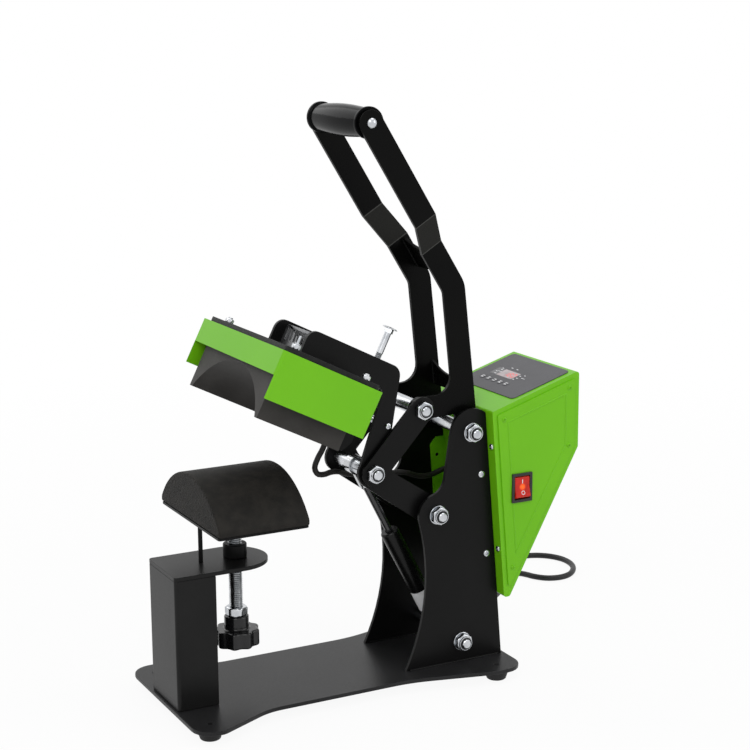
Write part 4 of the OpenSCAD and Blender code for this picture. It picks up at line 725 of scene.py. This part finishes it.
# Control panel: a printed film with a row of membrane keys beside its display window, on a circuit board.
# The window glows with red figures, and small pale marks stand beside the keys.


def banded(material, start, way, bands):
    """Another colour between pairs of distances, in metres, along a line. Gives the distance along it."""
    tree = material.node_tree
    base = tree.nodes["Principled BSDF"].inputs["Base Color"]
    at = node(tree, "ShaderNodeVectorMath", {0: here(tree), 1: tuple(start)}, operation="SUBTRACT")
    along = node(tree, "ShaderNodeVectorMath", {0: at.outputs[0], 1: tuple(way)}, operation="DOT_PRODUCT")
    along = along.outputs["Value"]
    for a, b, colour in bands:
        past, short = worked(tree, "GREATER_THAN", along, a), worked(tree, "LESS_THAN", along, b)
        inside = worked(tree, "MULTIPLY", past, short)
        mixed = node(tree, "ShaderNodeMix", {"Factor": inside, 6: base.links[0].from_socket, 7: colour},
                     data_type="RGBA")
        tree.links.new(mixed.outputs[2], base)
    return along


def bars_tree():
    """Small flat bars on points, each of the size its point carries."""
    tree, given, keys = opened("flat_bars", "Spots", ("Tilt",))
    block = node(tree, "GeometryNodeMeshCube", {"Size": (1.0, 1.0, 1.0)})
    size = node(tree, "GeometryNodeInputNamedAttribute", {"Name": "size"}, data_type="FLOAT_VECTOR")
    lean = node(tree, "ShaderNodeCombineXYZ", {1: given["Tilt"]})
    spread = node(tree, "GeometryNodeInstanceOnPoints",
                  {"Points": given["Spots"], "Instance": block.outputs["Mesh"], "Rotation": lean.outputs[0],
                   "Scale": size.outputs["Attribute"]})
    closed(tree, spread.outputs[0], given["Finish"])
    return tree, keys


def bars(name, spots, at, tilt, material, body, slot):
    """Flat bars, each with its middle and its size in millimetres, in a place's own frame."""
    base = bpy.data.meshes.new(name + "_spots")
    base.from_pydata([at @ mm(*p) for p, size in spots], [], [])
    sizes = base.attributes.new("size", "FLOAT_VECTOR", "POINT")
    for i, (p, size) in enumerate(spots):
        sizes.data[i].vector = mm(*size)
    dressed(grown(name, base, flat_bars, (tilt, material), 20), body, None, slot)


film = finish("panel_film", srgb(92, 92, 95), srgb(85, 85, 88), 0.45,
              patch=0.05, grain=0.0007, depth=0.04, spec=0.2)
glass = finish("display_glass", srgb(190, 180, 182), srgb(168, 156, 158), 0.2,
               patch=0.008, grain=0.002, depth=0.01, spec=0.4)
window_end, past_window = 0.0225, 0.05
banded(glass, (0, 0, 0), (0, 1, 0), [(window_end, past_window, srgb(98, 98, 101))])
laminate = finish("green_laminate", srgb(30, 92, 58), srgb(22, 72, 46), 0.4,
                  patch=0.006, grain=0.0012, depth=0.1)
broken_edges("control_panel", "panel_printed", "root", film, "panel_film", 0.0002)
broken_edges("display_window", "display_lens", "root", glass, "display_glass", 0.0)
broken_edges("circuit_board", "board_made", "root", laminate, "board", 0.0)

# Figures and marks lie on the panel's slope: up the slope, across to the left and out of it.
panel_lean = radians(-17.2)
panel_at = Matrix.Translation(mm(119.157, 0, 284)) @ Matrix.Rotation(panel_lean, 4, "Y")
flat_bars = bars_tree()
pale = finish("pale_print", srgb(236, 236, 238), srgb(222, 222, 224), 0.5, patch=0.004, depth=0.02)
led = finish("red_led", srgb(240, 40, 30), srgb(215, 20, 16), 0.4, patch=0.003, depth=0.02)
glowing = led.node_tree.nodes["Principled BSDF"].inputs
glowing["Emission Color"].default_value = srgb(255, 40, 24)
glowing["Emission Strength"].default_value = 0.5
lying, standing = (0.7, 3.2, 0.25), (2.8, 0.7, 0.25)
strokes = {"a": (3.6, 0, lying), "b": (1.8, -2, standing), "c": (-1.8, -2, standing), "d": (-3.6, 0, lying),
           "e": (-1.8, 2, standing), "f": (1.8, 2, standing), "g": (0, 0, lying)}
spots = []
for lit, y in (("bc", 11.0), ("abcdefg", 4.0), ("abcdef", -3.0)):
    spots += [((66 + s, y + across, 0.92), size) for s, across, size in (strokes[key] for key in lit)]
bars("display_figures", spots, panel_at, panel_lean, led, "root", "display_glass")
key_from, key_pitch, key_z, film_z, mark_t = 33, 11.5, 1.46, 1.06, 0.12
marks = []
for i, offset in enumerate((1.7, 0, -1.7, 0.6, 1.2)):
    y = key_from - key_pitch * i
    marks += [((50.6, y, key_z), (1.0, 4.4, mark_t)), ((47.6, y, key_z), (1.0, 4.4, mark_t)),
              ((49.1, y + offset, key_z), (2.4, 1.1, mark_t))]
marks += [((s, y, film_z), (1.1, 3.2, mark_t)) for s, y in (
    (61, 27), (65, 30), (70, 27), (73, 29), (60.5, -10), (64, -12), (69, -11), (72, -16), (78, 18), (78, 8))]
marks += [((s, y, film_z), (0.8, 6.5, mark_t)) for s, y in ((66, 25), (66.5, -20))]
bars("panel_marks", marks, panel_at, panel_lean, pale, "root", "panel_film")

# Rocker switch: a snap-in black nylon housing with a clear red rocker, lit from inside.
# A bar and a ring are moulded on the rocker's two ends.
switch_black = finish("switch_plastic", srgb(26, 26, 27), srgb(18, 18, 19), 0.3, patch=0.01, depth=0.1)
broken_edges("switch_housing", "switch_body", "root", switch_black, "switch_plastic", 0.0006)
red = finish("rocker_red", srgb(206, 18, 8), srgb(178, 8, 4), 0.16,
             patch=0.006, grain=0.002, depth=0.02, spec=0.35)
tree = red.node_tree
glowing = tree.nodes["Principled BSDF"].inputs
glowing["Emission Color"].default_value = srgb(255, 120, 30)
lamp_at = (0.1545, -0.064, 0.2008)
away = node(tree, "ShaderNodeVectorMath", {0: here(tree), 1: lamp_at}, operation="DISTANCE")
fade = node(tree, "ShaderNodeMapRange", {"Value": away.outputs["Value"], "From Min": 0.0005, "From Max": 0.0055,
                                         "To Min": 0.95, "To Max": 0.03}, interpolation_type="SMOOTHERSTEP")
tree.links.new(fade.outputs[0], glowing["Emission Strength"])
broken_edges("switch_rocker", "rocker_moulded", "rocker", red, "rocker_plastic", 0.0008, 3)
rocker_at = Matrix.Translation(mm(154.5, -60.42, 200)) @ Matrix.Rotation(radians(-8), 4, "X")
thin_ring = turned_parts("thin_ring", [(0.72, 0), (1.0, 0), (1.0, 1.0), (0.72, 1.0), (0.72, 0)])
ring_way = (rocker_at.to_3x3() @ Vector((0, -0.99, 0.139))).normalized()
repeated("rocker_ring", thin_ring, [(rocker_at @ mm(0, -5.88, -6.05), ring_way)], 0.0022, 0.0003, pale,
         "rocker", "rocker_plastic")
bars("rocker_bar", [((0, -6.0, 5.9), (0.9, 0.3, 4.2))], rocker_at, 0.0, pale, "rocker", "rocker_plastic")

# Arm: two 4 mm plates, joined by tubes, a tie rod, a dull brace and a bridge that carries the stop bolt.
# It turns on a bolt through the uprights, and the toggle's links pull at its pin.
arm_at = Matrix.Translation(mm(62.5, 0, 179.3)) @ Matrix.Rotation(radians(26.7), 4, "Y")
for side in ("right", "left"):
    coated(f"{side}_arm_plate", "arm", black_coat, name=f"{side}_arm_coated")
dull = finish("dull_zinc_sheet", srgb(150, 151, 152), srgb(118, 119, 121), 0.36,
              metal=0.9, patch=0.012, depth=0.05)
broken_edges("carriage_brace", "carriage_brace_plated", "arm", dull, "grey_steel", 0.0003)
coated("stop_bridge", "arm", black_coat)
plain_bar = turned_parts("plain_bar", [(0.001, 0), (1.0, 0), (1.0, 1.0), (0.001, 1.0)])
least_pin, tie_half, head_y = 0.0085, 38.9, 39
for n, (low, high) in enumerate(islands("arm_rods", arm_at)):
    at = middle(low, high)
    if high.x - low.x > least_pin:
        foot = arm_at @ Vector((at.x, low.y, at.z))
        plated(f"arm_pin_{n}", plain_bar, [(foot, across_machine)], (high.x - low.x) / 2, high.y - low.y,
               "arm", "arm_rods")
    else:
        at.y = 0
        foot = arm_at @ (at - mm(0, tie_half, 0))
        plated("arm_tie_rod", plain_bar, [(foot, across_machine)], 0.0029, 2 * tie_half / 1000, "arm", "arm_rods")
        heads = [(arm_at @ (at + mm(0, s * head_y, 0)), s * across_machine) for s in (-1, 1)]
        plated("tie_rod_heads", pan_head, heads, 0.0036, 0.0028, "arm", "arm_rods")
broken_edges("arm_tubes", "arm_tubes_plated", "arm", zinc, "zinc_steel", 0.0005)

# Stop bolt: a plated bolt with a thin domed head on a square neck, locked by two thin nuts on the bridge.
# It meets the handle's plate when the press is shut, and its thread sets how far the handle comes down.


def on_stop(w):
    """A place on the stop bolt's middle line, that many millimetres over the arm's pivot."""
    return arm_at @ mm(-111.1, 0, w)


arm_up = arm_at.to_3x3() @ straight_up
stop_radius = 0.0035
threaded("stop_bolt_thread", on_stop(99.8), arm_up, stop_radius, 0.0012, 0.03, "arm", "stop_bolt")
shank = turned_parts("shank", [(0.001, 0), (0.9, 0), (1.0, 0.02), (1.0, 1.0), (0.001, 1.0)])
neck = turned_parts("square_neck", [(0.001, 0), (1.0, 0), (1.0, 1.0), (0.001, 1.0)], sides=4)
dome = turned_parts("dome_head", [
    (0.001, 0), (0.97, 0), (1.0, 0.1), (1.0, 0.35), (0.93, 0.6), (0.75, 0.82), (0.4, 0.97), (0.001, 1.0)])
for name, kind, heights, radius, height in (
    ("stop_bolt_shank", shank, (129,), stop_radius, 0.0248),
    ("stop_bolt_neck", neck, (151.8,), 0.0053, 0.005),
    ("stop_bolt_head", dome, (156.3,), 0.008, 0.002),
    ("stop_nuts", plain_nut, (108.8, 117.8), 0.006, 0.005),
):
    plated(name, kind, [(on_stop(w), arm_up) for w in heights], radius, height, "arm")

# Heater: a textured black plate on a green hood, with the arched cast block and its insulation under it.
# Plated cartridge rods heat the block, and a black cover at its back hides their terminals.
textured = finish("textured_black_coat", srgb(34, 34, 35), srgb(24, 24, 25), 0.5,
                  patch=0.004, grain=0.0014, depth=0.5, spec=0.2)
cast = finish("coated_casting", srgb(61, 59, 57), srgb(51, 49, 47), 0.5, patch=0.03, grain=0.0009, spec=0.2)
wool = finish("mineral_wool", srgb(205, 196, 160), srgb(180, 170, 130), 0.9,
              patch=0.006, grain=0.0012, depth=0.5)
coated("backing_plate", "arm", textured)
broken_edges("heater_hood", "hood_painted", "arm", green, "green_steel", 0.0007, 3)
broken_edges("heat_block", "heat_block_coated", "arm", cast, "cast_aluminium", 0.0006)
broken_edges("heater_rods", "heater_rods_plated", "arm", zinc, "zinc_steel", 0.0004)
broken_edges("insulation_pad", "insulation_packed", "arm", wool, "mineral_wool", 0.0015)
coated("terminal_cover", "arm", black_coat, 0.0004)

# Heater studs: four plated M5 studs hold the block and the hood to the plate.
# Each comes up through the plate with a small nut on it.
broken_edges("platen_studs", "studs_plated", "arm", zinc, "zinc_steel", 0.0004)
seats = []
for low, high in islands("stud_nuts", arm_at):
    at = middle(low, high)
    seats.append((arm_at @ Vector((at.x, at.y, low.z)), arm_up))
plated("stud_nuts_made", plain_nut, seats, 0.004, 0.0045, "arm", "stud_nuts")

# Heater cable: one round sleeved cable from the terminal cover, along the arm and over its pivot, into the box.
# It bends between its points on the arm and those on the box where the arm turns.
sleeve = finish("cable_sleeve", srgb(34, 31, 29), srgb(25, 23, 21), 0.5, patch=0.012, depth=0.15, spec=0.35)
cable_radius = 0.003
route = [arm_at @ mm(*p) for p in (
    (-140.5, 20, 50), (-133, 20, 50), (-126, 20, 46), (-121, 20, 38), (-118, 20, 28), (-117, 20, 16),
    (-118, 20, 5), (-117, 20, -5), (-111, 20, -10), (-103, 21, -8), (-95, 23, -3), (-86, 25, 0), (-76, 27, 1),
    (-65, 28, 4), (-52, 28, 8), (-38, 28, 13), (-26, 27, 19), (-15, 25, 24), (-8.6, 24, 25.77))]
route += [mm(*p) for p in (
    (72.2, 24, 203.9), (79.1, 24, 201.4), (88, 24, 200), (98, 24, 201), (108, 24, 204), (119.43, 24, 206),
    (139.43, 24, 206))]
cable_path, cable_long = smoothed(route, 0.003)
cable = swept("heater_cable_whole", cable_path, [cable_radius] * len(cable_path))
cable.data.materials.append(sleeve)
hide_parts("heater_cable", "control_lead")
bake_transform(cable, "arm", "root", start=tuple(mm(52, 24, 210)), end=tuple(mm(88, 24, 200)))

# Handle: two flat bars with a knee and a joggle, joined by a welded plate and a gusset, in black coat.
# Their tops carry a moulded grip on a plated rod.
high_at = Matrix.Translation(mm(87.5, 0, 412.5)) @ Matrix.Rotation(radians(-31.4), 4, "Y")
low_at = Matrix.Translation(mm(103, 0, 262)) @ Matrix.Rotation(radians(-5.88), 4, "Y")
bar_coat = finish("handle_powder_coat", srgb(9, 9, 8), srgb(6, 6, 6), 0.28,
                  patch=0.06, grain=0.0011, depth=0.08, swing=0.04, spec=0.07)
# Painted light: the joggle's slope is painted paler, with a painted highlight line across each bend.
slope_from, slope_to, fold, bend_highlight = 0.0505, 0.0845, 0.001, srgb(70, 70, 68)
banded(bar_coat, high_at.translation, high_at.to_3x3() @ straight_up, [
    (slope_from, slope_to, srgb(38, 38, 36)), (slope_from - fold, slope_from, bend_highlight),
    (slope_to, slope_to + fold, bend_highlight)])
for side in ("right", "left"):
    coated(f"{side}_handle_bar", "handle", bar_coat, name=f"{side}_bar_coated")
for name in ("stop_plate", "handle_gusset"):
    coated(name, "handle", bar_coat, 0.0005)
vinyl = finish("grip_vinyl", srgb(10, 11, 12), srgb(7, 7, 8), 0.14,
               grain=0.0012, depth=0.05, swing=0.03, spec=0.05)
broken_edges("grip", "grip_moulded", "handle", vinyl, "grip_plastic", 0.0006)
broken_edges("grip_bolt", "grip_rod_plated", "handle", zinc, "zinc_steel", 0.0006)
welds("handle_welds", [[at @ mm(x, s * 33.1, z) for z in run] for at, x, run in (
    (high_at, 4.4, (13, 47)), (low_at, 5.2, (36, 62))) for s in (-1, 1)], 0.0013, "handle")

# Toggle: a plated pin through the handle's feet and two black links down to the arm.
# The links turn on short pin ends, with a washer and a lock nut on each.


def at_link_ends(y):
    """The links' lower pin, that many millimetres out on both sides."""
    return [(link_pin + mm(0, s * y, 0), s * across_machine) for s in (-1, 1)]


link_pin = mm(-8, 0, 231)
hardware("toggle", "handle", "toggle_bolt", "toggle_bolt", short=0.0015)
coated("toggle_links", "link", black_coat)
plated("link_nuts", lock_nut, at_link_ends(44), 0.0085, 0.008, "link", "link_bolts")
repeated("link_nut_rings", nylon_ring, at_link_ends(50.3), 0.0085, 0.0012, nylon, "link", "switch_plastic")
pin_end = turned_parts("link_bar", [(0.001, 0), (1.0, 0), (1.0, 0.94), (0.84, 1.0), (0.001, 1.0)])
plated("link_bolt_ends", pin_end, at_link_ends(39.3), 0.0049, 0.0138, "link")
plated("link_washers", flat_ring, at_link_ends(39.3), 0.01, 0.0006, "link")

# Gas strut: a painted cylinder with a pale printed band, on a plated foot that turns on the lowest bolt.
# Its rod is dark and hardened, with a bright fitting and an eye on the links' pin.
strut_from = mm(91.5, 0, 37)
strut_way = (link_pin - strut_from).normalized()
cylinder = finish("cylinder_paint", srgb(15, 15, 15), srgb(10, 10, 10), 0.28,
                  patch=0.03, grain=0.0009, depth=0.05, spec=0.2)
banded(cylinder, strut_from, strut_way, [(0.03, 0.054, srgb(242, 242, 244))])
coated("strut_cylinder", "strut", cylinder, 0.0005, name="strut_cylinder_painted")
broken_edges("strut_foot", "strut_foot_plated", "strut", zinc, "zinc_steel", 0.0005)
rod = finish("hardened_rod", srgb(40, 40, 42), srgb(30, 30, 32), 0.2,
             patch=0.01, depth=0.03, swing=0.04, spec=0.6)
fitting_from = 0.19
along = banded(rod, strut_from, strut_way, [(fitting_from, 1.0, srgb(196, 198, 200))])
bright = worked(rod.node_tree, "GREATER_THAN", along, fitting_from)
rod.node_tree.links.new(bright, rod.node_tree.nodes["Principled BSDF"].inputs["Metallic"])
broken_edges("strut_rod", "strut_rod_hardened", "strut_rod", rod, "chrome_rod", 0.0004)

# The box round everything that renders, the floor left out.
low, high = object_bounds()
